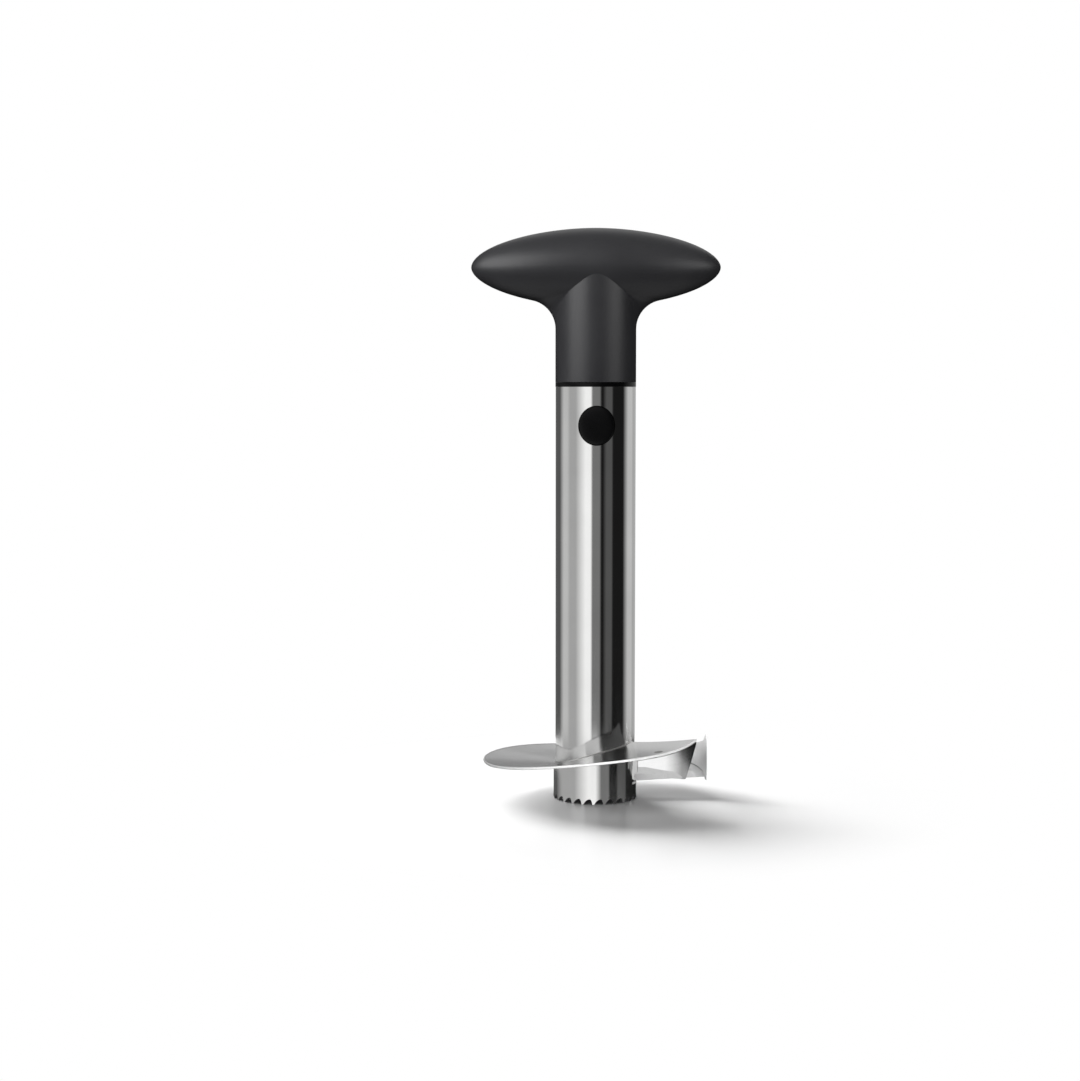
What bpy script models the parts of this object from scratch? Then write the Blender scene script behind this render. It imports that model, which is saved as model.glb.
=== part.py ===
"""Pineapple slicer: a toothed core tube with a helical ring blade, turned by a T handle.

Metres, +Z up. The origin lies on the tube's axis, in the plane of the tooth tips.
The handle's bar runs along X, and the front release button faces -Y.
Angles run counter-clockwise from +X, seen from above.
"""
import math

import bmesh
import bpy
from mathutils import Matrix, Vector

# Core tube and the holes that its two release buttons click into
TUBE_RADIUS = 0.01595
TUBE_WALL = 0.0007
TUBE_TOP = 0.1652
BUTTON_DROP = 0.0152
BUTTON_HALF_WIDTH = 0.0069
BUTTON_HALF_HEIGHT = 0.0075
HOLE_CLEARANCE = 0.00035

# Saw teeth, cut through the tube and the sleeve together, as (share of pitch, share of depth)
TOOTH_COUNT = 24
TOOTH_DEPTH = 0.00215
TOOTH_START = math.radians(10)
TOOTH_SHARES = ((0.0, 0.0), (0.12, 0.0), (0.26, 0.36), (0.44, 0.74),
                (0.62, 0.95), (0.76, 1.0), (0.88, 0.82), (0.96, 0.40))

# Sleeve that carries the ring, welded round the foot of the tube
SLEEVE_WALL = 0.00065
WELD_GAP = 0.0001

# Slicing ring: one climbing turn from the ground leading edge to the flared trailing corner
RING_RADIUS = 0.0450
RING_THICKNESS = 0.0010
RING_TURN = math.radians(331)
RING_START = 0.00925
RING_RISE = 0.01625
RING_DIP = 0.0029
RING_DIP_ANGLE = math.radians(205)
RING_DIP_SPREAD = math.radians(50)
RING_DISH = 0.00175
RING_FLARE = 0.0018
RING_FLARE_ANGLE = math.radians(300)
RING_STEP = math.radians(4)
RING_RADIAL_SHARES = (0.0, 0.25, 0.5, 0.75, 1.0)
GRIND_LENGTH = 0.0060
GRIND_SHARES = (0.0, 0.2, 0.36, 0.55, 0.78, 1.0)
EDGE_THICKNESS = 0.0002

# Rim knife: a curved plate hanging from the rim at the trailing end, its ground foot leaning in
RIM_KNIFE_WALL = 0.0008
RIM_KNIFE_START = math.radians(290)
RIM_KNIFE_TIP = math.radians(321.5)
RIM_KNIFE_END = math.radians(330.6)
RIM_KNIFE_HEEL_DROP = 0.0046
RIM_KNIFE_TIP_DROP = 0.0124
RIM_KNIFE_END_DROP = 0.0009
RIM_KNIFE_GRIND = 0.0026
RIM_KNIFE_FADE = math.radians(10)
RIM_KNIFE_LEAN = math.radians(3)
RIM_KNIFE_LIP = 0.0004
WELD_TAB_REACH = 0.0066
WELD_TAB_ANGLE = math.radians(306)
WELD_TAB_HALF_SPAN = math.radians(5)
WELD_TAB_SLOPE = math.radians(1.5)

# Leading knife: an upright plate on the rim at the leading end, flared at its cutting edge,
# outlined as (share of its length, share of its height)
LEADING_KNIFE_WALL = 0.0008
LEADING_KNIFE_LEAD = math.radians(3.5)
LEADING_KNIFE_TAIL = math.radians(40)
LEADING_KNIFE_HEIGHT = 0.0168
LEADING_KNIFE_REACH = 0.0010
LEADING_KNIFE_GRIND = 0.0030
LEADING_KNIFE_SHARES = ((0.0, 1.0), (0.04, 0.985), (0.08, 0.94), (0.14, 0.84), (0.22, 0.75), (0.38, 0.65),
                        (0.54, 0.55), (0.70, 0.42), (0.84, 0.27), (0.94, 0.14), (1.0, 0.06))

# T handle: a bar a little leaner than an ellipsoid, on a round neck that flares out to meet it
BAR_HALF_LENGTH = 0.0495
BAR_HALF_HEIGHT = 0.0156
BAR_BULGE = 0.0005
BAR_CENTRE_RISE = 0.0453
BAR_POWER = 1.85
NECK_OVERHANG = 0.0001
FLARE_RADIUS = 0.0115
FLARE_FADE_POWER = 8
CREASE_RADIUS = 0.0006
FLARE_ROWS = 4
NECK_EDGE = 0.0004
UNDERSIDE_ROWS = 8
CROWN_ROWS = 13
CROWN_SHARE = 0.25

# Lock plug between the tube and the handle
FLANGE_THICKNESS = 0.0017
FACE_GAP = 0.0001
PLUG_CLEARANCE = 0.00025
PLUG_WALL = 0.0016
PLUG_TAIL = 0.0045
WEB_THICKNESS = 0.0030
SOCKET_WALL = 0.0035
SOCKET_DEPTH = 0.0220
SOCKET_CLEARANCE = 0.0003
BOSS_RADIUS = 0.0045
KEY_WIDTH = 0.0030
KEY_HEIGHT = 0.0012

# Release buttons on their spring legs
LEG_ROOT_DROP = 0.0042
LEG_MARGIN = 0.0009
LEG_SLOT = 0.0005
LEG_SWING = math.radians(9)
LEG_CLEARANCE = 0.0002
BUTTON_PROUD = 0.0008
BUTTON_CROWN = 0.0005
BUTTON_EDGE_SHARES = ((0.0, 1.0), (0.35, 0.93), (0.62, 0.78), (0.82, 0.55), (0.94, 0.28), (1.0, 0.0))
BUTTON_STEPS = 40

# Screw that holds the handle on the plug
SCREW_RADIUS = 0.0018
SCREW_LENGTH = 0.0160
SCREW_POINT = 0.0020
SCREW_HEAD_RADIUS = 0.0038
SCREW_HEAD_HEIGHT = 0.0024
SCREW_CLEARANCE = 0.0002
POINT_SHARE = 0.25
HEAD_CROWN_SHARE = 0.6

# Faces round the turned pieces, and how far every cutter runs past what it cuts
TURNED_STEPS = 64
SMALL_STEPS = 32
OVERRUN = 0.0010
MERGE = 0.00001

# Worked out from the sizes above
SLEEVE_BORE = TUBE_RADIUS + WELD_GAP
SLEEVE_RADIUS = SLEEVE_BORE + SLEEVE_WALL
RING_BORE = TUBE_RADIUS + WELD_GAP
BUTTON_HEIGHT = TUBE_TOP - BUTTON_DROP
NECK_RADIUS = TUBE_RADIUS + NECK_OVERHANG
FLANGE_TOP = TUBE_TOP + FACE_GAP + FLANGE_THICKNESS
NECK_BASE = FLANGE_TOP + FACE_GAP
BAR_CENTRE = NECK_BASE + BAR_CENTRE_RISE
BAR_HALF_DEPTH = NECK_RADIUS + BAR_BULGE
PLUG_RADIUS = TUBE_RADIUS - TUBE_WALL - PLUG_CLEARANCE
PLUG_FOOT = BUTTON_HEIGHT - BUTTON_HALF_HEIGHT - PLUG_TAIL
SOCKET_RADIUS = NECK_RADIUS - SOCKET_WALL
SPIGOT_RADIUS = SOCKET_RADIUS - SOCKET_CLEARANCE
SPIGOT_TOP = NECK_BASE + SOCKET_DEPTH - SOCKET_CLEARANCE
WEB_FOOT = FLANGE_TOP - WEB_THICKNESS
LEG_ROOT = TUBE_TOP - LEG_ROOT_DROP
LEG_HALF_WIDTH = BUTTON_HALF_WIDTH + LEG_MARGIN
LEG_PIVOT_RADIUS = PLUG_RADIUS - PLUG_WALL / 2
LEG_CORNER = math.sqrt((PLUG_RADIUS - PLUG_WALL) ** 2 - LEG_HALF_WIDTH ** 2)
LEG_ROOT_GAP = (LEG_PIVOT_RADIUS - LEG_CORNER) * math.sin(LEG_SWING) + LEG_CLEARANCE


def clear_scene():
    """Start from an empty scene."""
    for item in list(bpy.data.objects):
        bpy.data.objects.remove(item, do_unlink=True)


def new_collection(name):
    """Make a collection and link it to the scene."""
    collection = bpy.data.collections.new(name)
    bpy.context.scene.collection.children.link(collection)
    return collection


def make_material(name, colour, roughness, metallic):
    """A Principled material with one colour."""
    material = bpy.data.materials.new(name)
    material.use_nodes = True
    shader = material.node_tree.nodes["Principled BSDF"]
    shader.inputs["Base Color"].default_value = (*colour, 1.0)
    shader.inputs["Roughness"].default_value = roughness
    shader.inputs["Metallic"].default_value = metallic
    return material


def add_object(name, mesh, material):
    """Put a mesh in the part's collection as a smooth-shaded piece."""
    mesh.shade_smooth()
    mesh.set_sharp_from_angle(angle=math.radians(35))
    mesh.materials.append(material)
    piece = bpy.data.objects.new(name, mesh)
    PARTS.objects.link(piece)
    return piece


def make_cutter(piece):
    """Turn an object into a hidden tool for a Boolean."""
    for collection in list(piece.users_collection):
        collection.objects.unlink(piece)
    CUTTERS.objects.link(piece)
    piece.hide_render = True
    piece.display_type = 'WIRE'
    return piece


def combine(piece, tool, operation):
    """Cut, join or intersect a piece with a tool."""
    modifier = piece.modifiers.new(tool.name, 'BOOLEAN')
    modifier.operation = operation
    modifier.object = tool
    modifier.solver = 'EXACT'


def loft(name, rings, closed=False):
    """Join equal rings of points into one closed surface, capped at both ends unless it closes on itself."""
    mesh = bpy.data.meshes.new(name)
    shape = bmesh.new()
    rows = [[shape.verts.new(point) for point in ring] for ring in rings]
    pairs = list(zip(rows, rows[1:]))
    if closed:
        pairs.append((rows[-1], rows[0]))
    for low, high in pairs:
        for index in range(len(low)):
            after = (index + 1) % len(low)
            shape.faces.new((low[index], low[after], high[after], high[index]))
    if not closed:
        shape.faces.new(rows[0])
        shape.faces.new(rows[-1])
    bmesh.ops.recalc_face_normals(shape, faces=shape.faces)
    shape.to_mesh(mesh)
    shape.free()
    return mesh


def around(sections):
    """Stand (radius, height) outlines at their angles round the axis."""
    rings = []
    for angle, outline in sections:
        rings.append([(r * math.cos(angle), r * math.sin(angle), z) for r, z in outline])
    return rings


def turned(name, profile, material, steps=TURNED_STEPS, closed=True):
    """Revolve a (radius, height) profile round Z: a closed loop, or an open one that ends on the axis."""
    mesh = bpy.data.meshes.new(name)
    count = len(profile)
    edges = [(index, index + 1) for index in range(count - 1)]
    if closed:
        edges.append((count - 1, 0))
    mesh.from_pydata([(r, 0, z) for r, z in profile], edges, [])
    piece = add_object(name, mesh, material)
    screw = piece.modifiers.new("turn", 'SCREW')
    screw.steps = steps
    screw.render_steps = steps
    screw.use_merge_vertices = True
    screw.merge_threshold = MERGE
    return piece


def box(name, low, high):
    """A box cutter between two corners."""
    bpy.ops.mesh.primitive_cube_add(size=1)
    piece = bpy.context.object
    piece.name = name
    centre = (Vector(low) + Vector(high)) / 2
    piece.data.transform(Matrix.Translation(centre) @ Matrix.Diagonal((*(Vector(high) - Vector(low)), 1)))
    return make_cutter(piece)


def tooth_columns():
    """Angles round the tube with the height of the toothed edge at each."""
    pitch = math.tau / TOOTH_COUNT
    columns = []
    for tooth in range(TOOTH_COUNT):
        for along, up in TOOTH_SHARES:
            columns.append((TOOTH_START + (tooth + along) * pitch, TOOTH_DEPTH * up))
    return columns


def ring_top(radius, angle):
    """Upper face of the ring plate before its leading edge is ground."""
    share = (radius - RING_BORE) / (RING_RADIUS - RING_BORE)
    climb = RING_START + RING_RISE * angle / RING_TURN
    dip = RING_DIP * math.exp(-((angle - RING_DIP_ANGLE) / RING_DIP_SPREAD) ** 2)
    flare = max(0, (angle - RING_FLARE_ANGLE) / (RING_TURN - RING_FLARE_ANGLE)) ** 2
    return climb - dip - RING_DISH * (1 - share) + RING_FLARE * flare * share ** 2


def ring_under(radius, angle):
    """Lower face of the ring plate."""
    return ring_top(radius, angle) - RING_THICKNESS


def ring_face(radius, angle):
    """Upper face of the ring plate with its leading edge ground down to a cutting edge."""
    run = min(1, radius * angle / GRIND_LENGTH)
    return ring_under(radius, angle) + EDGE_THICKNESS + (RING_THICKNESS - EDGE_THICKNESS) * run


def build_core_tube(material):
    """Rolled tube with a toothed foot and two holes for the buttons."""
    bore = TUBE_RADIUS - TUBE_WALL
    sections = []
    for angle, foot in tooth_columns():
        outline = [(TUBE_RADIUS, TUBE_TOP), (TUBE_RADIUS, foot), (bore, foot), (bore, TUBE_TOP)]
        sections.append((angle, outline))
    tube = add_object("core_tube", loft("core_tube", around(sections), closed=True), material)
    reach = TUBE_RADIUS + OVERRUN
    bpy.ops.mesh.primitive_cylinder_add(vertices=TURNED_STEPS, radius=1, depth=2)
    hole = bpy.context.object
    hole.name = "button_hole_cutter"
    size = (BUTTON_HALF_WIDTH + HOLE_CLEARANCE, BUTTON_HALF_HEIGHT + HOLE_CLEARANCE, reach, 1)
    turn = Matrix.Rotation(math.radians(90), 4, 'X')
    hole.data.transform(Matrix.Translation((0, 0, BUTTON_HEIGHT)) @ turn @ Matrix.Diagonal(size))
    combine(tube, make_cutter(hole), 'DIFFERENCE')
    return tube


def build_sleeve(material):
    """Sleeve with the same teeth, cut at the top to the climb of the ring that sits on it."""
    step_height = ring_under(RING_BORE, 0) - WELD_GAP
    sections = []
    for angle, foot in tooth_columns():
        place = angle % math.tau
        top = ring_under(RING_BORE, place) - WELD_GAP if place <= RING_TURN else step_height
        outline = [(SLEEVE_RADIUS, top), (SLEEVE_RADIUS, foot), (SLEEVE_BORE, foot), (SLEEVE_BORE, top)]
        sections.append((angle, outline))
    return add_object("toothed_sleeve", loft("toothed_sleeve", around(sections), closed=True), material)


def build_ring(material):
    """Dished helical plate, one section at each angle, closer together along the ground edge."""
    radii = [RING_BORE + (RING_RADIUS - RING_BORE) * share for share in RING_RADIAL_SHARES]
    grind_angle = GRIND_LENGTH / RING_BORE
    angles = [grind_angle * share for share in GRIND_SHARES]
    count = math.ceil((RING_TURN - grind_angle) / RING_STEP)
    angles += [grind_angle + (RING_TURN - grind_angle) * (index + 1) / count for index in range(count)]
    sections = []
    for angle in angles:
        upper = [(radius, ring_face(radius, angle)) for radius in reversed(radii)]
        lower = [(radius, ring_under(radius, angle)) for radius in radii]
        sections.append((angle, upper + lower))
    return add_object("slicing_ring", loft("slicing_ring", around(sections)), material)


def rim_knife_drop(angle):
    """How far the rim knife hangs below the ring: slowly deeper to its tip, then steeply back up."""
    if angle <= RIM_KNIFE_TIP:
        share = (angle - RIM_KNIFE_START) / (RIM_KNIFE_TIP - RIM_KNIFE_START)
        return RIM_KNIFE_HEEL_DROP + (RIM_KNIFE_TIP_DROP - RIM_KNIFE_HEEL_DROP) * share
    share = (angle - RIM_KNIFE_TIP) / (RIM_KNIFE_END - RIM_KNIFE_TIP)
    return RIM_KNIFE_TIP_DROP + (RIM_KNIFE_END_DROP - RIM_KNIFE_TIP_DROP) * share


def weld_tab_reach(angle):
    """How far the knife's inward lip reaches under the ring, deepest at the spot-welded tab."""
    past = abs(angle - WELD_TAB_ANGLE) - WELD_TAB_HALF_SPAN
    share = min(1, max(0, 1 - past / WELD_TAB_SLOPE))
    return RIM_KNIFE_LIP + WELD_TAB_REACH * share


def build_rim_knife(material):
    """Curved plate under the rim with a bevelled foot and a tab for its spot weld."""
    outer = RING_RADIUS
    inner = RING_RADIUS - RIM_KNIFE_WALL
    lean = math.tan(RIM_KNIFE_LEAN)
    tab_edges = [WELD_TAB_ANGLE + side * (WELD_TAB_HALF_SPAN + slope)
                 for side in (-1, 1) for slope in (0, WELD_TAB_SLOPE)]
    before = [RIM_KNIFE_START + (RIM_KNIFE_TIP - RIM_KNIFE_START) * index / 8 for index in range(9)]
    after = [RIM_KNIFE_TIP + (RIM_KNIFE_END - RIM_KNIFE_TIP) * (index + 1) / 4 for index in range(4)]
    sections = []
    for angle in sorted(before + after + tab_edges):
        roof = ring_under(inner, angle) - WELD_GAP
        foot = roof - rim_knife_drop(angle)
        rise = RIM_KNIFE_GRIND * min(1, max(0, (RIM_KNIFE_TIP - angle) / RIM_KNIFE_FADE))
        grind = foot + min(rise + EDGE_THICKNESS, (roof - foot) / 2)
        tab = inner - weld_tab_reach(angle)
        shelf = max(ring_under(tab, angle) - WELD_GAP - RIM_KNIFE_WALL, foot + (roof - foot) / 4)
        upright = [(outer, ring_under(outer, angle) - WELD_GAP), (outer, grind),
                   (inner + EDGE_THICKNESS, foot), (inner, foot), (inner, shelf),
                   (tab, shelf), (tab, ring_under(tab, angle) - WELD_GAP), (inner, roof)]
        leaning = [(radius - max(0, roof - height) * lean, height) for radius, height in upright]
        sections.append((angle, leaning))
    return add_object("rim_knife", loft("rim_knife", around(sections)), material)


def leading_knife_share(along):
    """Share of the leading knife's height at a share of its length, read between the outline's points."""
    for (low, low_up), (high, high_up) in zip(LEADING_KNIFE_SHARES, LEADING_KNIFE_SHARES[1:]):
        if along <= high:
            return low_up + (high_up - low_up) * (along - low) / (high - low)
    return LEADING_KNIFE_SHARES[-1][1]


def build_leading_knife(material):
    """Upright plate standing on the rim at the leading end, its front edge ground on the inside."""
    span = LEADING_KNIFE_LEAD + LEADING_KNIFE_TAIL
    angles = [span * along - LEADING_KNIFE_LEAD for along, _ in LEADING_KNIFE_SHARES]
    angles += [-WELD_GAP / RING_BORE, 0]
    sections = []
    for angle in sorted(angles):
        seat = ring_face(RING_RADIUS, max(0, angle)) + WELD_GAP
        foot = seat if angle >= 0 else ring_under(RING_RADIUS, 0) - LEADING_KNIFE_REACH
        share = leading_knife_share((angle + LEADING_KNIFE_LEAD) / span)
        top = ring_top(RING_RADIUS, max(0, angle)) + LEADING_KNIFE_HEIGHT * share
        run = min(1, RING_RADIUS * (angle + LEADING_KNIFE_LEAD) / LEADING_KNIFE_GRIND)
        wall = EDGE_THICKNESS + (LEADING_KNIFE_WALL - EDGE_THICKNESS) * run
        inner = RING_RADIUS - wall
        outline = [(RING_RADIUS, top), (RING_RADIUS, foot), (inner, foot), (inner, top)]
        sections.append((angle, outline))
    return add_object("leading_knife", loft("leading_knife", around(sections)), material)


def bar_reach(angle):
    """Distance from the bar's centre to its widest outline in a direction."""
    return BAR_HALF_LENGTH * BAR_HALF_DEPTH / math.hypot(BAR_HALF_DEPTH * math.cos(angle),
                                                         BAR_HALF_LENGTH * math.sin(angle))


def flare_radius(angle):
    """Radius of the hollow between neck and bar: wide along the bar, hardly more than a crease in front."""
    return CREASE_RADIUS + (FLARE_RADIUS - CREASE_RADIUS) * abs(math.cos(angle)) ** FLARE_FADE_POWER


def flare_seat(angle):
    """Foot, outward reach and top of the hollow, which leaves the neck and ends where it touches the bar."""
    radius = flare_radius(angle)
    seats = []
    for step in range(TURNED_STEPS):
        out = radius * step / TURNED_STEPS
        along = (NECK_RADIUS + out) / bar_reach(angle)
        if along < 1:
            climb = math.sqrt(radius ** 2 - (radius - out) ** 2)
            drop = BAR_HALF_HEIGHT * (1 - along ** BAR_POWER) ** (1 / BAR_POWER)
            seats.append((BAR_CENTRE - drop - climb, out, BAR_CENTRE - drop))
    return min(seats)


def grip_point(turn, rise):
    """A point of the grip: rise 0 is the hollow's foot, 1 its top, 2 the bar's widest line, 3 its crown."""
    slender = 1 + (BAR_HALF_LENGTH / BAR_HALF_DEPTH - 1) * min(rise / 2, 1)
    angle = math.atan2(math.sin(turn), slender * math.cos(turn))
    foot, out, top = flare_seat(angle)
    if rise <= 1:
        radius = flare_radius(angle)
        bend = math.acos(1 - out / radius) * rise
        reach = NECK_RADIUS + radius * (1 - math.cos(bend))
        height = foot + radius * math.sin(bend)
    else:
        start = math.asin((top - BAR_CENTRE) / BAR_HALF_HEIGHT)
        level = math.sin(start * (2 - rise) if rise < 2 else math.radians(90) * (rise - 2))
        reach = bar_reach(angle) * (1 - abs(level) ** BAR_POWER) ** (1 / BAR_POWER)
        height = BAR_CENTRE + BAR_HALF_HEIGHT * level
    return (reach * math.cos(angle), reach * math.sin(angle), height)


def grip_rings():
    """Rings of the grip from the foot of the neck, up through the hollow and over the bar."""
    turns = [math.tau * index / TURNED_STEPS for index in range(TURNED_STEPS)]
    rings = []
    for radius, height in ((NECK_RADIUS - NECK_EDGE, NECK_BASE), (NECK_RADIUS, NECK_BASE + NECK_EDGE)):
        rings.append([(radius * math.cos(turn), radius * math.sin(turn), height) for turn in turns])
    rises = [index / FLARE_ROWS for index in range(FLARE_ROWS)]
    rises += [1 + index / UNDERSIDE_ROWS for index in range(UNDERSIDE_ROWS)]
    rises += [2 + index / CROWN_ROWS for index in range(CROWN_ROWS)]
    rings += [[grip_point(turn, rise) for turn in turns] for rise in rises]
    crown = BAR_CENTRE + BAR_HALF_HEIGHT
    rings.append([(x * CROWN_SHARE, y * CROWN_SHARE, crown) for x, y, _ in rings[-1]])
    return rings


def build_grip(material):
    """T handle with a blind socket, two key grooves and a screw boss in its neck."""
    grip = add_object("handle_grip", loft("handle_grip", grip_rings()), material)
    roof = NECK_BASE + SOCKET_DEPTH
    below = NECK_BASE - OVERRUN
    socket = [(SOCKET_RADIUS, roof), (SOCKET_RADIUS, below), (BOSS_RADIUS, below), (BOSS_RADIUS, roof)]
    combine(grip, make_cutter(turned("socket_cutter", socket, material)), 'DIFFERENCE')
    pilot_radius = SCREW_RADIUS + SCREW_CLEARANCE
    pilot_roof = WEB_FOOT + SCREW_LENGTH + SCREW_CLEARANCE
    pilot = [(0, pilot_roof), (pilot_radius, pilot_roof), (pilot_radius, below), (0, below)]
    pilot_cutter = turned("pilot_cutter", pilot, material, SMALL_STEPS, closed=False)
    combine(grip, make_cutter(pilot_cutter), 'DIFFERENCE')
    reach = SPIGOT_RADIUS + KEY_HEIGHT + SOCKET_CLEARANCE
    half = KEY_WIDTH / 2 + SOCKET_CLEARANCE
    for side in (-1, 1):
        name = "key_groove_cutter_left" if side < 0 else "key_groove_cutter_right"
        near, far = sorted((side * (SOCKET_RADIUS - OVERRUN), side * reach))
        combine(grip, box(name, (near, -half, below), (far, half, roof)), 'DIFFERENCE')
    return grip


def build_plug(material):
    """Moulded plug: a cup in the tube, a flange on its mouth and a keyed spigot in the handle."""
    bore = PLUG_RADIUS - PLUG_WALL
    spigot_bore = SPIGOT_RADIUS - PLUG_WALL
    screw_hole = SCREW_RADIUS + SCREW_CLEARANCE
    flange_foot = TUBE_TOP + FACE_GAP
    profile = [(SPIGOT_RADIUS, SPIGOT_TOP), (SPIGOT_RADIUS, FLANGE_TOP), (NECK_RADIUS, FLANGE_TOP),
               (NECK_RADIUS, flange_foot), (PLUG_RADIUS, flange_foot), (PLUG_RADIUS, PLUG_FOOT),
               (bore, PLUG_FOOT), (bore, WEB_FOOT), (screw_hole, WEB_FOOT), (screw_hole, FLANGE_TOP),
               (spigot_bore, FLANGE_TOP), (spigot_bore, SPIGOT_TOP)]
    plug = turned("lock_plug", profile, material)
    half = LEG_HALF_WIDTH + LEG_SLOT
    reach = PLUG_RADIUS + OVERRUN
    slot_top = LEG_ROOT + LEG_ROOT_GAP
    slot = box("leg_slot_cutter", (-half, -reach, PLUG_FOOT - OVERRUN), (half, reach, slot_top))
    combine(plug, slot, 'DIFFERENCE')
    for side in (-1, 1):
        name = "left_key" if side < 0 else "right_key"
        near, far = sorted((side * (SPIGOT_RADIUS - PLUG_WALL / 2), side * (SPIGOT_RADIUS + KEY_HEIGHT)))
        key = box(name, (near, -KEY_WIDTH / 2, FLANGE_TOP - FLANGE_THICKNESS / 2),
                  (far, KEY_WIDTH / 2, SPIGOT_TOP - PLUG_WALL))
        combine(plug, key, 'UNION')
    return plug


def build_button_leg(name, side, material):
    """Spring leg cut from the plug's wall, with a crowned button that stands through the tube."""
    bore = PLUG_RADIUS - PLUG_WALL
    wall = [(PLUG_RADIUS, LEG_ROOT), (PLUG_RADIUS, PLUG_FOOT), (bore, PLUG_FOOT), (bore, LEG_ROOT)]
    blank = turned(name + "_blank", wall, material)
    near, far = sorted((0, side * (PLUG_RADIUS + OVERRUN)))
    strip = box(name + "_strip", (-LEG_HALF_WIDTH, near, PLUG_FOOT - OVERRUN),
                (LEG_HALF_WIDTH, far, LEG_ROOT + OVERRUN))
    combine(blank, strip, 'INTERSECT')
    face = TUBE_RADIUS + BUTTON_PROUD
    crown = [(share, face - BUTTON_CROWN * (1 - up)) for share, up in BUTTON_EDGE_SHARES]
    back = math.sqrt(bore ** 2 - BUTTON_HALF_WIDTH ** 2)
    button = turned(name + "_button", crown + [(1, back), (0, back)], material, BUTTON_STEPS, closed=False)
    turn = Matrix.Rotation(math.radians(-90 * side), 4, 'X')
    size = Matrix.Diagonal((BUTTON_HALF_WIDTH, BUTTON_HALF_HEIGHT, 1, 1))
    button.matrix_world = Matrix.Translation((0, 0, BUTTON_HEIGHT)) @ turn @ size
    combine(blank, make_cutter(button), 'UNION')
    bpy.context.view_layer.update()
    graph = bpy.context.evaluated_depsgraph_get()
    mesh = bpy.data.meshes.new_from_object(blank.evaluated_get(graph))
    mesh.name = name
    for item in (blank, strip, button):
        bpy.data.objects.remove(item)
    pivot = Vector((0, side * LEG_PIVOT_RADIUS, LEG_ROOT))
    mesh.transform(Matrix.Translation(-pivot))
    leg = bpy.data.objects.new(name, mesh)
    leg.location = pivot
    PARTS.objects.link(leg)
    return leg


def build_screw(material):
    """Pan-head screw up through the plug's web into the handle's boss."""
    head_top = WEB_FOOT - FACE_GAP
    head_foot = head_top - SCREW_HEAD_HEIGHT
    tip = head_top + SCREW_LENGTH
    crown = SCREW_HEAD_HEIGHT * HEAD_CROWN_SHARE
    turns = [math.radians(30 * index) for index in range(4)]
    dome = [(SCREW_HEAD_RADIUS - crown * (1 - math.cos(turn)), head_foot + crown * (1 - math.sin(turn)))
            for turn in turns]
    profile = [(0, tip), (SCREW_RADIUS * POINT_SHARE, tip), (SCREW_RADIUS, tip - SCREW_POINT),
               (SCREW_RADIUS, head_top), (SCREW_HEAD_RADIUS, head_top), *dome, (0, head_foot)]
    return turned("plug_screw", profile, material, SMALL_STEPS, closed=False)


def main():
    """Build every piece."""
    steel = make_material("polished_stainless_steel", (0.62, 0.62, 0.63), 0.16, 1.0)
    blade_steel = make_material("ground_stainless_steel", (0.66, 0.66, 0.67), 0.24, 1.0)
    grip_rubber = make_material("soft_touch_grip", (0.035, 0.035, 0.037), 0.55, 0.0)
    gloss_black = make_material("gloss_black_plastic", (0.006, 0.006, 0.006), 0.2, 0.0)
    screw_steel = make_material("zinc_plated_steel", (0.55, 0.55, 0.57), 0.35, 1.0)
    build_core_tube(steel)
    build_sleeve(steel)
    build_ring(blade_steel)
    build_rim_knife(blade_steel)
    build_leading_knife(blade_steel)
    build_grip(grip_rubber)
    build_plug(gloss_black)
    build_button_leg("front_button_leg", -1, gloss_black)
    build_button_leg("rear_button_leg", 1, gloss_black)
    build_screw(screw_steel)


clear_scene()
PARTS = new_collection("pineapple_slicer")
CUTTERS = new_collection("cutters")
main()
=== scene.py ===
from math import acos, asin, atan2, cos, exp, hypot, pi, radians, sin, sqrt, tan, tau

import bmesh
import bpy
from mathutils import Matrix, Vector


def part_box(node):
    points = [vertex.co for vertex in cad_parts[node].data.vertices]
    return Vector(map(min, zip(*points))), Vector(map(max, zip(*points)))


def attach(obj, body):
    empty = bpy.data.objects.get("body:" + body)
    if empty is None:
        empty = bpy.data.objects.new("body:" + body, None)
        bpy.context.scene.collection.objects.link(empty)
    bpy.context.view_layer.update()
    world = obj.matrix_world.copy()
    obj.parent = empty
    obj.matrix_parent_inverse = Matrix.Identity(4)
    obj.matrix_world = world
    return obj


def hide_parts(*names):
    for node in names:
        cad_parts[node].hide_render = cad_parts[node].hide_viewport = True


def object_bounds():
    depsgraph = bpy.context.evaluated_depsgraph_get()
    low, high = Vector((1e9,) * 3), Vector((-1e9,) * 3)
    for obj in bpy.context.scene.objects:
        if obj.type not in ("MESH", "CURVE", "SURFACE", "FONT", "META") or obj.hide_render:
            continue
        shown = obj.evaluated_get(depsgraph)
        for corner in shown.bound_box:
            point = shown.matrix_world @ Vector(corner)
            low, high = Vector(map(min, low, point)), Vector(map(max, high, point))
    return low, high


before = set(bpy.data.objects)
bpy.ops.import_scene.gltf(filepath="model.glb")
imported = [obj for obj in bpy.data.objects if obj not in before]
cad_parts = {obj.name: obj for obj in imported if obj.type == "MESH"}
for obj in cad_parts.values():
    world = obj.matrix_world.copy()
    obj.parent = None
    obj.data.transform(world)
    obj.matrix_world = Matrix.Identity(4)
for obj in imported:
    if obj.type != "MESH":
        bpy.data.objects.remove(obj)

CAD_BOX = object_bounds()

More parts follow.
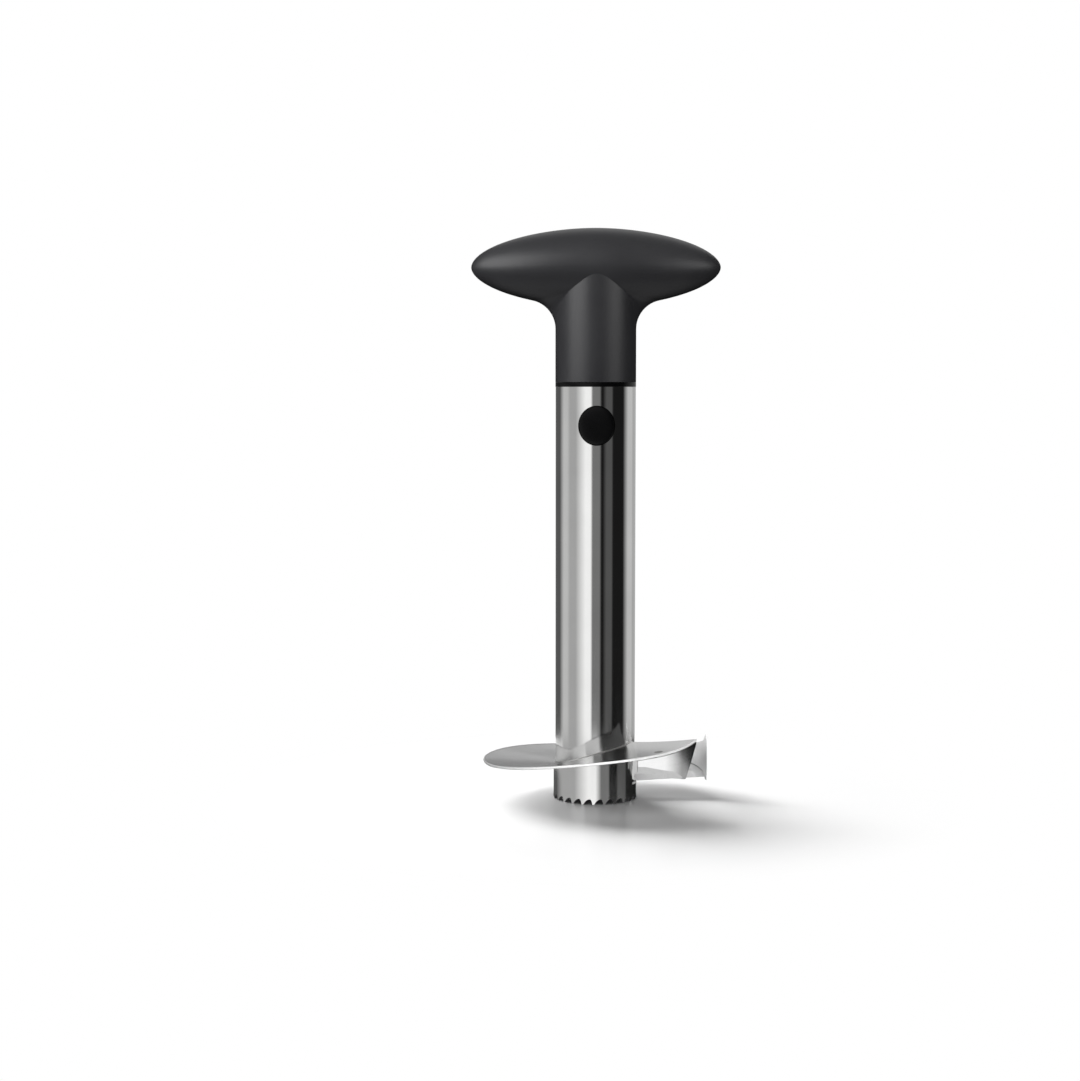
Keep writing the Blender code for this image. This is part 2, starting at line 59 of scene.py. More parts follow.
# Tube, sleeve and teeth, in metres
TUBE_RADIUS = 0.01595
TUBE_WALL = 0.0007
TUBE_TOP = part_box("core_tube")[1].z
SLEEVE_WALL = 0.00065
WELD_GAP = 0.0001
BUTTON_HEIGHT = TUBE_TOP - 0.0152
BUTTON_HALF_WIDTH = 0.0069
BUTTON_HALF_HEIGHT = 0.0075
HOLE_CLEARANCE = 0.00035
TOOTH_COUNT = 24
TOOTH_DEPTH = 0.00215
TOOTH_START = radians(10)
TOOTH_SHARES = ((0.0, 0.0), (0.12, 0.0), (0.26, 0.36), (0.44, 0.74), (0.62, 0.95), (0.76, 1.0), (0.88, 0.82),
                (0.96, 0.40), (1.0, 0.0))
TOOTH_COLUMNS = 18
SHEET_EDGE = 0.00007
ROW_MARGIN = 0.0004
TUBE_PLAIN_ROWS = 12
TUBE_HOLE_ROWS = 22
HOLE_ROWS_REACH = 1.4
SLEEVE_ROW_SHARES = (0.0, 0.04, 0.12, 0.35, 0.65, 0.88, 0.96, 1.0)
# Inward faces take the bore's finish, and cut faces below this top the teeth's, both darkened as painted
# shade
FACING_SHARE = 0.7
SHADED_CUT_EDGE_TOP = TOOTH_DEPTH * 1.3

# Slicing ring
RING_RADIUS = 0.0450
RING_THICKNESS = 0.0010
RING_TURN = radians(331)
RING_START = 0.00925
RING_RISE = 0.01625
RING_DIP = 0.0029
RING_DIP_ANGLE = radians(205)
RING_DIP_SPREAD = radians(50)
RING_DISH = 0.00175
RING_FLARE = 0.0018
RING_FLARE_ANGLE = radians(300)
GRIND_LENGTH = 0.0060
EDGE_THICKNESS = 0.0002
RIM_ROUND = 0.00036
RING_COLUMNS = 420
RING_FACE_ROWS = 18

# Knives welded to the ring's rim
RIM_KNIFE_WALL = 0.0008
RIM_KNIFE_START = radians(290)
RIM_KNIFE_TIP = radians(321.5)
RIM_KNIFE_END = radians(330.6)
RIM_KNIFE_HEEL_DROP = 0.0046
RIM_KNIFE_TIP_DROP = 0.0124
RIM_KNIFE_END_DROP = 0.0009
RIM_KNIFE_GRIND = 0.0026
RIM_KNIFE_FADE = radians(10)
RIM_KNIFE_LEAN = radians(3)
RIM_KNIFE_LIP = 0.0004
RIM_KNIFE_COLUMNS = 60
RIM_KNIFE_END_COLUMNS = 14
WELD_TAB_REACH = 0.0066
WELD_TAB_ANGLE = radians(306)
WELD_TAB_HALF_SPAN = radians(5)
WELD_TAB_SLOPE = radians(1.5)
WELD_SPOT_RADIUS = 0.0405
WELD_SPOT_PROFILE = ((0.00175, 0.0), (0.0016, 0.00006), (0.0014, 0.00009), (0.0011, 0.00004),
                     (0.0006, 0.00001))
WELD_SPOT_LIFT = 0.00001
WELD_SPOT_COLUMNS = 40
WELD_FILLET = 0.00035
WELD_FILLET_COLUMNS = 300
LEADING_KNIFE_WALL = 0.0008
LEADING_KNIFE_LEAD = radians(3.5)
LEADING_KNIFE_TAIL = radians(40)
LEADING_KNIFE_HEIGHT = 0.0168
LEADING_KNIFE_REACH = 0.0010
LEADING_KNIFE_GRIND = 0.0030
LEADING_KNIFE_COLUMNS = 90
LEADING_KNIFE_SHARES = ((0.0, 1.0), (0.04, 0.985), (0.08, 0.94), (0.14, 0.84), (0.22, 0.75), (0.38, 0.65),
                        (0.54, 0.55), (0.70, 0.42), (0.84, 0.27), (0.94, 0.14), (1.0, 0.06))

# T handle
BAR_HALF_LENGTH = 0.0495
BAR_HALF_HEIGHT = 0.0156
BAR_BULGE = 0.0005
BAR_POWER = 1.85
FLARE_RADIUS = 0.0115
FLARE_FADE_POWER = 8
CREASE_RADIUS = 0.0006
GRIP_COLUMNS = 192
GRIP_FLARE_ROWS = 12
GRIP_UNDERSIDE_ROWS = 32
GRIP_CROWN_ROWS = 48

# Lock plug, its legs and its screw
FLANGE_THICKNESS = 0.0017
FACE_GAP = 0.0001
SEAM = 0.00001
FLANGE_ROUND = 0.00012
NECK_ROUND = 0.00015
PLUG_CLEARANCE = 0.00025
PLUG_WALL = 0.0016
WEB_THICKNESS = 0.0030
SOCKET_WALL = 0.0035
SOCKET_DEPTH = 0.0220
SOCKET_CLEARANCE = 0.0003
BOSS_RADIUS = 0.0045
KEY_WIDTH = 0.0030
KEY_HEIGHT = 0.0012
LEG_MARGIN = 0.0009
LEG_SLOT = 0.0005
LEG_ROOT_DROP = 0.0042
LEG_SWING = radians(9)
LEG_CLEARANCE = 0.0002
BUTTON_PROUD = 0.0008
BUTTON_CROWN = 0.0005
BUTTON_CROWN_ROWS = 14
BUTTON_COLUMNS = 96
LEG_EDGE = 0.00015
SCREW_RADIUS = 0.0018
SCREW_LENGTH = 0.0160
SCREW_POINT = 0.0020
SCREW_HEAD_RADIUS = 0.0038
SCREW_HEAD_HEIGHT = 0.0024
SCREW_CLEARANCE = 0.0002
SCREW_DOME_SHARE = 0.6
SCREW_DOME_ROWS = 8
SCREW_COLUMNS = 48
PILOT_COLUMNS = 32

# How the meshes are made: how far a cutter runs past, what merges, and where shading breaks
OVERRUN = 0.0010
MERGE = 0.000001
SHARP_ANGLE = radians(35)
KNIFE_SHARP_ANGLE = radians(8)

# Worked out from the sizes above
SLEEVE_BORE = TUBE_RADIUS + WELD_GAP
SLEEVE_RADIUS = SLEEVE_BORE + SLEEVE_WALL
RING_BORE = SLEEVE_BORE
NECK_RADIUS = TUBE_RADIUS + FACE_GAP
FLANGE_TOP = TUBE_TOP + FACE_GAP + FLANGE_THICKNESS
NECK_BASE = FLANGE_TOP + SEAM
BAR_CENTRE = CAD_BOX[1].z - BAR_HALF_HEIGHT
BAR_HALF_DEPTH = NECK_RADIUS + BAR_BULGE
PLUG_RADIUS = TUBE_RADIUS - TUBE_WALL - PLUG_CLEARANCE
PLUG_BORE = PLUG_RADIUS - PLUG_WALL
PLUG_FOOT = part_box("lock_plug")[0].z
SOCKET_RADIUS = NECK_RADIUS - SOCKET_WALL
SPIGOT_RADIUS = SOCKET_RADIUS - SOCKET_CLEARANCE
SPIGOT_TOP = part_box("lock_plug")[1].z
WEB_FOOT = FLANGE_TOP - WEB_THICKNESS
LEG_ROOT = TUBE_TOP - LEG_ROOT_DROP
LEG_HALF_WIDTH = BUTTON_HALF_WIDTH + LEG_MARGIN
LEG_CORNER = sqrt(PLUG_BORE ** 2 - LEG_HALF_WIDTH ** 2)
LEG_ROOT_GAP = (PLUG_RADIUS - PLUG_WALL / 2 - LEG_CORNER) * sin(LEG_SWING) + LEG_CLEARANCE


# The middle of a noise's values, between a finish's darker and lighter tone
NOISE_LOW = 0.3
NOISE_HIGH = 0.7

# Finishes of one noise: its size in metres, then tones, roughness, and the range and relief it gives
GRAINED_FINISHES = {
    # Bevels ground on a wheel: brighter than the plate, with short scratches down to the cutting edge
    "ground_stainless_edge": dict(size=0.0003, tones=("#DCDCDC", "#E8E8E8"), roughness=0.2,
                                  dull=(0.14, 0.26), relief=(0.4, 0.00001), stretch=0.05, detail=2.0),
    # Rolled rim and knife ground with a coarse belt: pale and dull, as its scratches scatter the light
    "coarse_ground_stainless": dict(size=0.00025, tones=("#D8D8D8", "#E4E4E4"), roughness=0.42,
                                    dull=(0.36, 0.48), relief=(0.2, 0.00001), stretch=0.04, detail=2.0,
                                    metallic=0.3),
    # Unpolished stainless as it leaves the mill or the punch: dull and mottled, and toned darker as painted
    # shade
    # The bore: duller than the outside, and darker as painted shade where it shows through the gullets
    "mill_bore_and_painted_shade": dict(size=0.0006, tones=("#77777A", "#838386"), roughness=0.4,
                             relief=(0.3, 0.00001)),
    # The teeth's cut faces: a rougher punched edge, with painted contact shade in its dark grey
    "punched_edge_and_painted_shade": dict(size=0.0006, tones=("#3C3C3E", "#484849"), roughness=0.5,
                               relief=(0.3, 0.00001)),
    # Weld metal: duller than the plate beside it, and browner where its heat has marked the steel
    "brushed_weld": dict(size=0.0008, tones=("#C0BFBD", "#D0CFCD"), roughness=0.35, relief=(0.5, 0.00003)),
    "heat_marked_weld": dict(size=0.0008, tones=("#7E7C79", "#93918E"), roughness=0.35,
                             relief=(0.5, 0.00003)),
    # ABS moulded in a polished tool: deep black, glossy, with faint flow waves and patches of duller gloss
    "gloss_black_abs": dict(size=0.006, tones=("#0A0A0B", "#0E0E0F"), roughness=0.26, dull=(0.22, 0.3),
                            relief=(0.2, 0.00003), detail=2.0, metallic=0.0, IOR=1.22),
    # Zinc-plated steel: pale grey with a slight blue passivation and a fine crystalline dullness
    "zinc_plated_screw": dict(size=0.0005, tones=("#B4B8C0", "#CDD0D4"), roughness=0.34,
                              dull=(0.28, 0.42)),
}


def linear(colour):
    """An sRGB hex colour as linear RGBA."""
    parts = [int(colour[place:place + 2], 16) / 255 for place in (1, 3, 5)]
    return (*[part / 12.92 if part <= 0.04045 else ((part + 0.055) / 1.055) ** 2.4 for part in parts], 1.0)


def add(tree, kind, inputs=None, **settings):
    """Add a node with its settings, its values and its links from sockets or nodes."""
    node = tree.nodes.new(kind)
    for name, value in settings.items():
        setattr(node, name, value)
    for key, value in (inputs or {}).items():
        if isinstance(value, bpy.types.Node):
            value = value.outputs[0]
        if isinstance(value, bpy.types.NodeSocket):
            tree.links.new(value, node.inputs[key])
        else:
            node.inputs[key].default_value = value
    return node


def calc(tree, operation, *values):
    """A Math node on numbers, sockets or nodes."""
    return add(tree, "ShaderNodeMath", dict(enumerate(values)), operation=operation)


def remap(tree, value, start=0.0, end=1.0, low=0.0, high=1.0, **settings):
    """Map a value from one range on to another."""
    return add(tree, "ShaderNodeMapRange", dict(enumerate((value, start, end, low, high))), **settings)


def noise(tree, place, size, detail=3.0):
    """Noise whose features are about as large as a size in metres."""
    node = add(tree, "ShaderNodeTexNoise", {"Vector": place, "Scale": 1 / size, "Detail": detail})
    return node.outputs["Fac"]


def set_ramp(node, stops):
    """Give a colour ramp its (position, hex colour) stops."""
    elements = node.color_ramp.elements
    while len(elements) < len(stops):
        elements.new(1.0)
    for element, (position, colour) in zip(elements, stops):
        element.position = position
        element.color = linear(colour)


def new_material(name, roughness, metallic=1.0, **sockets):
    """A Principled material and its texture place; uniform values go straight on the shader's sockets."""
    material = bpy.data.materials.new(name)
    material.use_nodes = True
    tree = material.node_tree
    for socket, value in {"Roughness": roughness, "Metallic": metallic, **sockets}.items():
        tree.nodes["Principled BSDF"].inputs[socket].default_value = value
    return material, tree, add(tree, "ShaderNodeTexCoord").outputs["Object"]


def dress(material, tones, dull=None, relief=None):
    """Link a material's tones (value, dark, light), its roughness and its relief (value, strength, depth)."""
    tree = material.node_tree
    shader = tree.nodes["Principled BSDF"].inputs
    value, dark, light = tones
    tone = add(tree, "ShaderNodeValToRGB", {"Fac": value})
    set_ramp(tone, ((NOISE_LOW, dark), (NOISE_HIGH, light)))
    tree.links.new(tone.outputs["Color"], shader["Base Color"])
    if dull:
        tree.links.new(dull.outputs[0], shader["Roughness"])
    if relief:
        height, strength, depth = relief
        bump = add(tree, "ShaderNodeBump", {"Height": height, "Strength": strength, "Distance": depth})
        tree.links.new(bump.outputs[0], shader["Normal"])
    return material


def polished_tube_steel():
    """Stainless tube polished along its length: near mirror, with hair-fine lines up and down it."""
    material, tree, place = new_material("polished_stainless_tube", 0.1)
    lines = add(tree, "ShaderNodeMapping", {"Vector": place, "Scale": (1, 1, 0.006)})
    hair = noise(tree, lines, 0.00035, 2.0)
    cloud = noise(tree, place, 0.018)
    wear = remap(tree, cloud, NOISE_LOW, NOISE_HIGH, 0.05, 0.07)
    grain = calc(tree, 'MULTIPLY_ADD', hair, 0.03, wear)
    return dress(material, (cloud, "#D3D3D2", "#DADAD9"), grain, (hair, 0.15, 0.000004))


def satin_blade_steel(name, smooth, worn):
    """Stamped and satin-finished stainless: softer reflections, with fine rings of finishing lines."""
    material, tree, place = new_material(name, smooth)
    x, y, z = add(tree, "ShaderNodeSeparateXYZ", {0: place}).outputs
    flat = add(tree, "ShaderNodeCombineXYZ", {0: x, 1: y})
    reach = add(tree, "ShaderNodeVectorMath", {0: flat}, operation='LENGTH').outputs["Value"]
    along = calc(tree, 'MULTIPLY', calc(tree, 'ARCTAN2', y, x), 0.0002)
    polar = add(tree, "ShaderNodeCombineXYZ", {0: reach, 1: along, 2: z})
    hair = noise(tree, polar, 0.0004, 2.0)
    cloud = noise(tree, place, 0.012)
    wear = remap(tree, cloud, NOISE_LOW, NOISE_HIGH, smooth, worn)
    grain = calc(tree, 'MULTIPLY_ADD', hair, 0.04, wear)
    return dress(material, (cloud, "#D6D6D6", "#DEDEDE"), grain, (hair, 0.06, 0.000006))


def soft_touch_rubber():
    """Thermoplastic rubber moulded in a fine spark-eroded grain: charcoal, matte, with a soft broad sheen."""
    material, tree, place = new_material("soft_touch_elastomer", 0.4, 0.0, IOR=1.45)
    grain = add(tree, "ShaderNodeTexVoronoi", {"Vector": place, "Scale": 1 / 0.00045, "Randomness": 1.0},
                feature='SMOOTH_F1')
    cloud = noise(tree, place, 0.02)
    matte = remap(tree, cloud, NOISE_LOW, NOISE_HIGH, 0.4, 0.46)
    return dress(material, (cloud, "#272729", "#2C2C2E"), matte, (grain.outputs["Distance"], 0.35, 0.00002))


def grained(name, size, tones, roughness, dull=None, relief=None, stretch=None, detail=3.0, **sockets):
    """A finish whose tones, roughness range and relief all come from one noise."""
    material, tree, place = new_material(name, roughness, **sockets)
    if stretch:
        place = add(tree, "ShaderNodeMapping", {"Vector": place, "Scale": (1, 1, stretch)})
    value = noise(tree, place, size, detail)
    return dress(material, (value, *tones), dull and remap(tree, value, low=dull[0], high=dull[1]),
                 relief and (value, *relief))


def put(name, data):
    """Put an object in the scene, at the origin."""
    item = bpy.data.objects.new(name, data)
    bpy.context.scene.collection.objects.link(item)
    return item


def soften(mesh):
    """Shade a mesh smooth between its sharp edges."""
    mesh.shade_smooth()
    mesh.set_sharp_from_angle(angle=SHARP_ANGLE)


def new_object(name, mesh, *materials):
    """A smooth-shaded piece with its materials."""
    soften(mesh)
    for material in materials:
        mesh.materials.append(material)
    return put(name, mesh)


def clean(mesh, fill=False):
    """Merge doubled points, fill open ends or drop slivers, and turn all faces out."""
    shape = bmesh.new()
    shape.from_mesh(mesh)
    bmesh.ops.remove_doubles(shape, verts=shape.verts, dist=MERGE)
    if fill:
        bmesh.ops.holes_fill(shape, edges=[edge for edge in shape.edges if edge.is_boundary], sides=0)
    else:
        bmesh.ops.dissolve_degenerate(shape, edges=shape.edges, dist=MERGE)
    bmesh.ops.recalc_face_normals(shape, faces=shape.faces)
    shape.to_mesh(mesh)
    shape.free()
    return mesh


def loft(name, rings, closed=False, pole=None):
    """Join equal rings of points into one closed surface, with plain ends or a pole over the last ring."""
    mesh = bpy.data.meshes.new(name)
    shape = bmesh.new()
    rows = [[shape.verts.new(point) for point in ring] for ring in rings]
    pairs = list(zip(rows, rows[1:]))
    if closed:
        pairs.append((rows[-1], rows[0]))
    for low, high in pairs:
        for index in range(len(low)):
            after = (index + 1) % len(low)
            shape.faces.new((low[index], low[after], high[after], high[index]))
    if not closed:
        shape.faces.new(rows[0])
        if pole is None:
            shape.faces.new(rows[-1])
        else:
            top = shape.verts.new(pole)
            for first, second in zip(rows[-1], rows[-1][1:] + rows[-1][:1]):
                shape.faces.new((first, second, top))
    bmesh.ops.recalc_face_normals(shape, faces=shape.faces)
    shape.to_mesh(mesh)
    shape.free()
    return mesh


def around(sections):
    """Stand (radius, height) outlines at their angles round the axis."""
    return [[(r * cos(angle), r * sin(angle), z) for r, z in outline]
            for angle, outline in sections]


def turned(name, profile, steps=128):
    """Revolve a closed (radius, height) profile round the axis."""
    turns = [tau * index / steps for index in range(steps)]
    return clean(loft(name, around([(turn, profile) for turn in turns]), closed=True))


def block(name, low, high):
    """A box between two corners, to cut or join with."""
    mesh = bpy.data.meshes.new(name)
    shape = bmesh.new()
    bmesh.ops.create_cube(shape, size=1)
    size = Vector(high) - Vector(low)
    place = Matrix.Translation((Vector(low) + Vector(high)) / 2) @ Matrix.Diagonal((*size, 1))
    bmesh.ops.transform(shape, matrix=place, verts=shape.verts)
    shape.to_mesh(mesh)
    shape.free()
    return mesh


def rounded(corner, radius, start, steps=5):
    """Points of a quarter round about a corner's centre, anticlockwise from a start angle in degrees."""
    turns = [radians(start + 90 * index / steps) for index in range(steps + 1)]
    return [(corner[0] + radius * cos(turn), corner[1] + radius * sin(turn)) for turn in turns]


def bake(piece, smooth=True):
    """Turn a piece's live modifiers into its plain mesh."""
    bpy.context.view_layer.update()
    graph = bpy.context.evaluated_depsgraph_get()
    mesh = bpy.data.meshes.new_from_object(piece.evaluated_get(graph))
    piece.modifiers.clear()
    piece.data = mesh
    if smooth:
        soften(mesh)


def combine(piece, mesh, operation):
    """Cut, join or intersect a piece with a tool mesh."""
    tool = put("tool", mesh)
    modifier = piece.modifiers.new("tool", 'BOOLEAN')
    modifier.operation = operation
    modifier.object = tool
    modifier.solver = 'EXACT'
    bake(piece)
    bpy.data.objects.remove(tool)


def break_edges(piece, width, angle=50):
    """Round a piece's sharp edges slightly, as deburring leaves them."""
    modifier = piece.modifiers.new("broken edges", 'BEVEL')
    modifier.width = width
    modifier.segments = 2
    modifier.limit_method = 'ANGLE'
    modifier.angle_limit = radians(angle)
    modifier.harden_normals = True
    bake(piece, smooth=False)


def sweep(name, section, columns, start, end, rule, sizes, material):
    """Geometry Nodes piece: a closed section of (radius, share, offset), carried round the axis by a rule."""
    mesh = bpy.data.meshes.new(name)
    mesh.from_pydata(section, [], [])
    piece = put(name, mesh)
    tree = bpy.data.node_groups.new(name, 'GeometryNodeTree')
    tree.interface.new_socket("Geometry", in_out='OUTPUT', socket_type='NodeSocketGeometry')
    tree.interface.new_socket("Section", in_out='INPUT', socket_type='NodeSocketGeometry')
    sizes = {"Start": start, "End": end, **sizes}
    sockets = [tree.interface.new_socket(size, in_out='INPUT', socket_type='NodeSocketFloat')
               for size in sizes]
    source = tree.nodes.new("NodeGroupInput").outputs
    points = len(section)
    grid = add(tree, "GeometryNodeMeshGrid", {"Vertices X": columns + 1, "Vertices Y": points + 1})
    index = add(tree, "GeometryNodeInputIndex")
    column = calc(tree, 'FLOOR', calc(tree, 'DIVIDE', index, points + 1))
    row = calc(tree, 'MODULO', calc(tree, 'MODULO', index, points + 1), points)
    place = add(tree, "GeometryNodeInputPosition")
    sample = add(tree, "GeometryNodeSampleIndex", {"Geometry": source["Section"]}, data_type='FLOAT_VECTOR')
    tree.links.new(place.outputs[0], sample.inputs["Value"])
    tree.links.new(row.outputs[0], sample.inputs["Index"])
    radius, share, offset = add(tree, "ShaderNodeSeparateXYZ", {0: sample}).outputs
    angle = remap(tree, calc(tree, 'DIVIDE', column, columns), low=source["Start"], high=source["End"])
    height = rule(tree, source, radius, share, offset, angle)
    x = calc(tree, 'MULTIPLY', radius, calc(tree, 'COSINE', angle))
    y = calc(tree, 'MULTIPLY', radius, calc(tree, 'SINE', angle))
    spot = add(tree, "ShaderNodeCombineXYZ", {0: x, 1: y, 2: height})
    wrapped = add(tree, "GeometryNodeSetPosition", {"Geometry": grid, "Position": spot})
    merged = add(tree, "GeometryNodeMergeByDistance", {"Geometry": wrapped, "Distance": MERGE})
    real = add(tree, "GeometryNodeRealizeInstances", {"Geometry": merged})
    coated = add(tree, "GeometryNodeSetMaterial", {"Geometry": real, "Material": material})
    add(tree, "NodeGroupOutput", {0: coated})
    modifier = piece.modifiers.new("sweep", 'NODES')
    modifier.node_group = tree
    for socket, value in zip(sockets, sizes.values()):
        modifier[socket.identifier] = float(value)
    bake(piece)
    soften(clean(piece.data, fill=True))
    piece.data.materials.clear()
    piece.data.materials.append(material)
    return piece


def ring_top(radius, angle):
    """Upper face of the ring plate before its leading edge is ground."""
    share = (radius - RING_BORE) / (RING_RADIUS - RING_BORE)
    climb = RING_START + RING_RISE * angle / RING_TURN
    dip = RING_DIP * exp(-((angle - RING_DIP_ANGLE) / RING_DIP_SPREAD) ** 2)
    flare = max(0, (angle - RING_FLARE_ANGLE) / (RING_TURN - RING_FLARE_ANGLE)) ** 2
    return climb - dip - RING_DISH * (1 - share) + RING_FLARE * flare * share ** 2


def ring_under(radius, angle):
    """Lower face of the ring plate."""
    return ring_top(radius, angle) - RING_THICKNESS


def ring_face(radius, angle):
    """Upper face of the ring plate with its leading edge ground down."""
    run = min(1, radius * angle / GRIND_LENGTH)
    return ring_under(radius, angle) + EDGE_THICKNESS + (RING_THICKNESS - EDGE_THICKNESS) * run


def ring_rule(tree, source, radius, share, offset, angle):
    """Nodes for the ring's height: climb, dip, dish, flare and the ground leading edge."""
    def op(operation, *values):
        return calc(tree, operation, *values)

    bore, turn, thickness = source["Bore Radius"], source["Turn"], source["Thickness"]
    out = op('DIVIDE', op('SUBTRACT', radius, bore), op('SUBTRACT', source["Rim Radius"], bore))
    climb = op('MULTIPLY_ADD', op('DIVIDE', angle, turn), source["Rise"], source["Foot"])
    past = op('DIVIDE', op('SUBTRACT', angle, source["Dip Angle"]), source["Dip Spread"])
    bell = op('EXPONENT', op('MULTIPLY', op('MULTIPLY', past, past), -1.0))
    dip = op('MULTIPLY', bell, source["Dip"])
    dish = op('MULTIPLY', op('SUBTRACT', 1.0, out), source["Dish"])
    lift = op('MULTIPLY', remap(tree, angle, source["Flare Angle"], turn), out)
    flare = op('MULTIPLY', op('MULTIPLY', lift, lift), source["Flare"])
    height = op('ADD', op('SUBTRACT', op('SUBTRACT', climb, dip), dish), flare)
    edge = op('DIVIDE', source["Edge"], thickness)
    ground = remap(tree, op('MULTIPLY', radius, angle), end=source["Grind"], low=edge)
    return op('ADD', op('SUBTRACT', height, thickness), op('MULTIPLY', offset, ground))


def tooth_rule(top):
    """Nodes for a toothed wall's height: the arched saw tooth at its foot, and the edge on top."""
    def rule(tree, source, radius, share, offset, angle):
        pitch = calc(tree, 'DIVIDE', tau, source["Tooth Count"])
        along = calc(tree, 'DIVIDE', calc(tree, 'SUBTRACT', angle, source["Start"]), pitch)
        arch = add(tree, "ShaderNodeFloatCurve", {"Value": calc(tree, 'FRACT', along)})
        curve = arch.mapping.curves[0]
        while len(curve.points) < len(TOOTH_SHARES):
            curve.points.new(0.5, 0.5)
        for point, (across, up) in zip(curve.points, TOOTH_SHARES):
            point.location = (across, up)
            point.handle_type = 'AUTO_CLAMPED'
        arch.mapping.update()
        foot = calc(tree, 'MULTIPLY', arch, source["Tooth Depth"])
        head = top(tree, source, angle)
        return remap(tree, share, low=foot, high=head)
    return rule


def level_top(tree, source, angle):
    """A level upper edge."""
    return source["Top"]


def climbing_top(tree, source, angle):
    """An upper edge that climbs under the ring, and stays at its lowest across the ring's opening."""
    past = calc(tree, 'MODULO', angle, tau)
    climb = ring_rule(tree, source, source["Bore Radius"], 0.0, 0.0, past)
    start = ring_rule(tree, source, source["Bore Radius"], 0.0, 0.0, 0.0)
    open_side = calc(tree, 'GREATER_THAN', past, source["Turn"])
    height = remap(tree, open_side, low=climb, high=start)
    return calc(tree, 'SUBTRACT', height, source["Gap"])


RING_SIZES = {"Rim Radius": RING_RADIUS, "Bore Radius": RING_BORE, "Turn": RING_TURN, "Rise": RING_RISE,
              "Foot": RING_START, "Dip Angle": RING_DIP_ANGLE, "Dip Spread": RING_DIP_SPREAD, "Dip": RING_DIP,
              "Dish": RING_DISH, "Flare Angle": RING_FLARE_ANGLE, "Flare": RING_FLARE,
              "Thickness": RING_THICKNESS, "Edge": EDGE_THICKNESS, "Grind": GRIND_LENGTH}


def wall_section(outer, bore, shares):
    """A thin upright wall's section, its edges left for deburring, as (radius, share of height, offset)."""
    return [(outer, share, 0) for share in reversed(shares)] + [(bore, share, 0) for share in shares]


def dress_wall(wall, shaded_bore_steel, shaded_cut_steel):
    """Give a toothed wall its duller bore and the dark cut faces between its teeth, both toned darker as
    painted shade.
    """
    wall.data.materials.append(shaded_bore_steel)
    wall.data.materials.append(shaded_cut_steel)
    for face in wall.data.polygons:
        facing = face.normal.dot(Vector((face.center.x, face.center.y, 0)).normalized())
        cut = abs(facing) < FACING_SHARE and face.center.z < SHADED_CUT_EDGE_TOP
        # Inward faces and cut faces near the foot take the tones darkened as painted shade
        face.material_index = 1 if facing < -FACING_SHARE else 2 if cut else 0


def build_tube(steel, shaded_bore_steel, shaded_cut_steel):
    """Core tube with its saw teeth and two deburred button holes."""
    plain = BUTTON_HEIGHT - BUTTON_HALF_HEIGHT * HOLE_ROWS_REACH
    rest = TUBE_TOP - ROW_MARGIN - plain
    heights = [0, ROW_MARGIN, ROW_MARGIN * 3]
    heights += [plain * index / TUBE_PLAIN_ROWS for index in range(1, TUBE_PLAIN_ROWS)]
    heights += [plain + rest * index / TUBE_HOLE_ROWS for index in range(TUBE_HOLE_ROWS + 1)] + [TUBE_TOP]
    shares = [height / TUBE_TOP for height in heights]
    section = wall_section(TUBE_RADIUS, TUBE_RADIUS - TUBE_WALL, shares)
    sizes = {"Tooth Count": TOOTH_COUNT, "Tooth Depth": TOOTH_DEPTH, "Top": TUBE_TOP}
    tube = sweep("polished_core_tube", section, TOOTH_COUNT * TOOTH_COLUMNS, TOOTH_START,
                 TOOTH_START + tau, tooth_rule(level_top), sizes, steel)
    hole = turned("hole", [(0, -1), (1, -1), (1, 1), (0, 1)])
    size = (BUTTON_HALF_WIDTH + HOLE_CLEARANCE, BUTTON_HALF_HEIGHT + HOLE_CLEARANCE, TUBE_RADIUS + OVERRUN, 1)
    turn = Matrix.Rotation(radians(90), 4, 'X')
    hole.transform(Matrix.Translation((0, 0, BUTTON_HEIGHT)) @ turn @ Matrix.Diagonal(size))
    combine(tube, hole, 'DIFFERENCE')
    break_edges(tube, SHEET_EDGE)
    dress_wall(tube, shaded_bore_steel, shaded_cut_steel)
    return tube


def build_sleeve(steel, shaded_bore_steel, shaded_cut_steel):
    """Toothed sleeve whose upper edge climbs with the ring."""
    sizes = {"Tooth Count": TOOTH_COUNT, "Tooth Depth": TOOTH_DEPTH, "Gap": WELD_GAP, **RING_SIZES}
    section = wall_section(SLEEVE_RADIUS, SLEEVE_BORE, SLEEVE_ROW_SHARES)
    sleeve = sweep("polished_toothed_sleeve", section, TOOTH_COUNT * TOOTH_COLUMNS, TOOTH_START,
                   TOOTH_START + tau, tooth_rule(climbing_top), sizes, steel)
    break_edges(sleeve, SHEET_EDGE)
    dress_wall(sleeve, shaded_bore_steel, shaded_cut_steel)
    return sleeve


def build_ring(steel, edge_steel, rim_steel):
    """Dished helical ring with a rounded rim and a ground leading edge."""
    shares = [row / RING_FACE_ROWS for row in range(RING_FACE_ROWS + 1)]
    inner = RING_RADIUS - RIM_ROUND
    radii = [RING_BORE + (inner - RING_BORE) * share for share in shares]
    under = [(radius, 0) for radius in radii]
    over = [(radius, RING_THICKNESS) for radius in reversed(radii)]
    low = rounded((inner, RIM_ROUND), RIM_ROUND, -90)
    high = rounded((inner, RING_THICKNESS - RIM_ROUND), RIM_ROUND, 0)
    section = [(radius, 0, z) for radius, z in under[:-1] + low + high + over[1:]]
    ring = sweep("slicing_ring_blade", section, RING_COLUMNS, 0, RING_TURN, ring_rule, RING_SIZES, steel)
    ring.data.materials.append(edge_steel)
    ring.data.materials.append(rim_steel)
    for face in ring.data.polygons:
        x, y, _ = face.center
        reach = hypot(x, y)
        run = reach * (atan2(y, x) % tau)
        face.material_index = 1 if run < GRIND_LENGTH else 2 if reach > inner else 0
    return ring


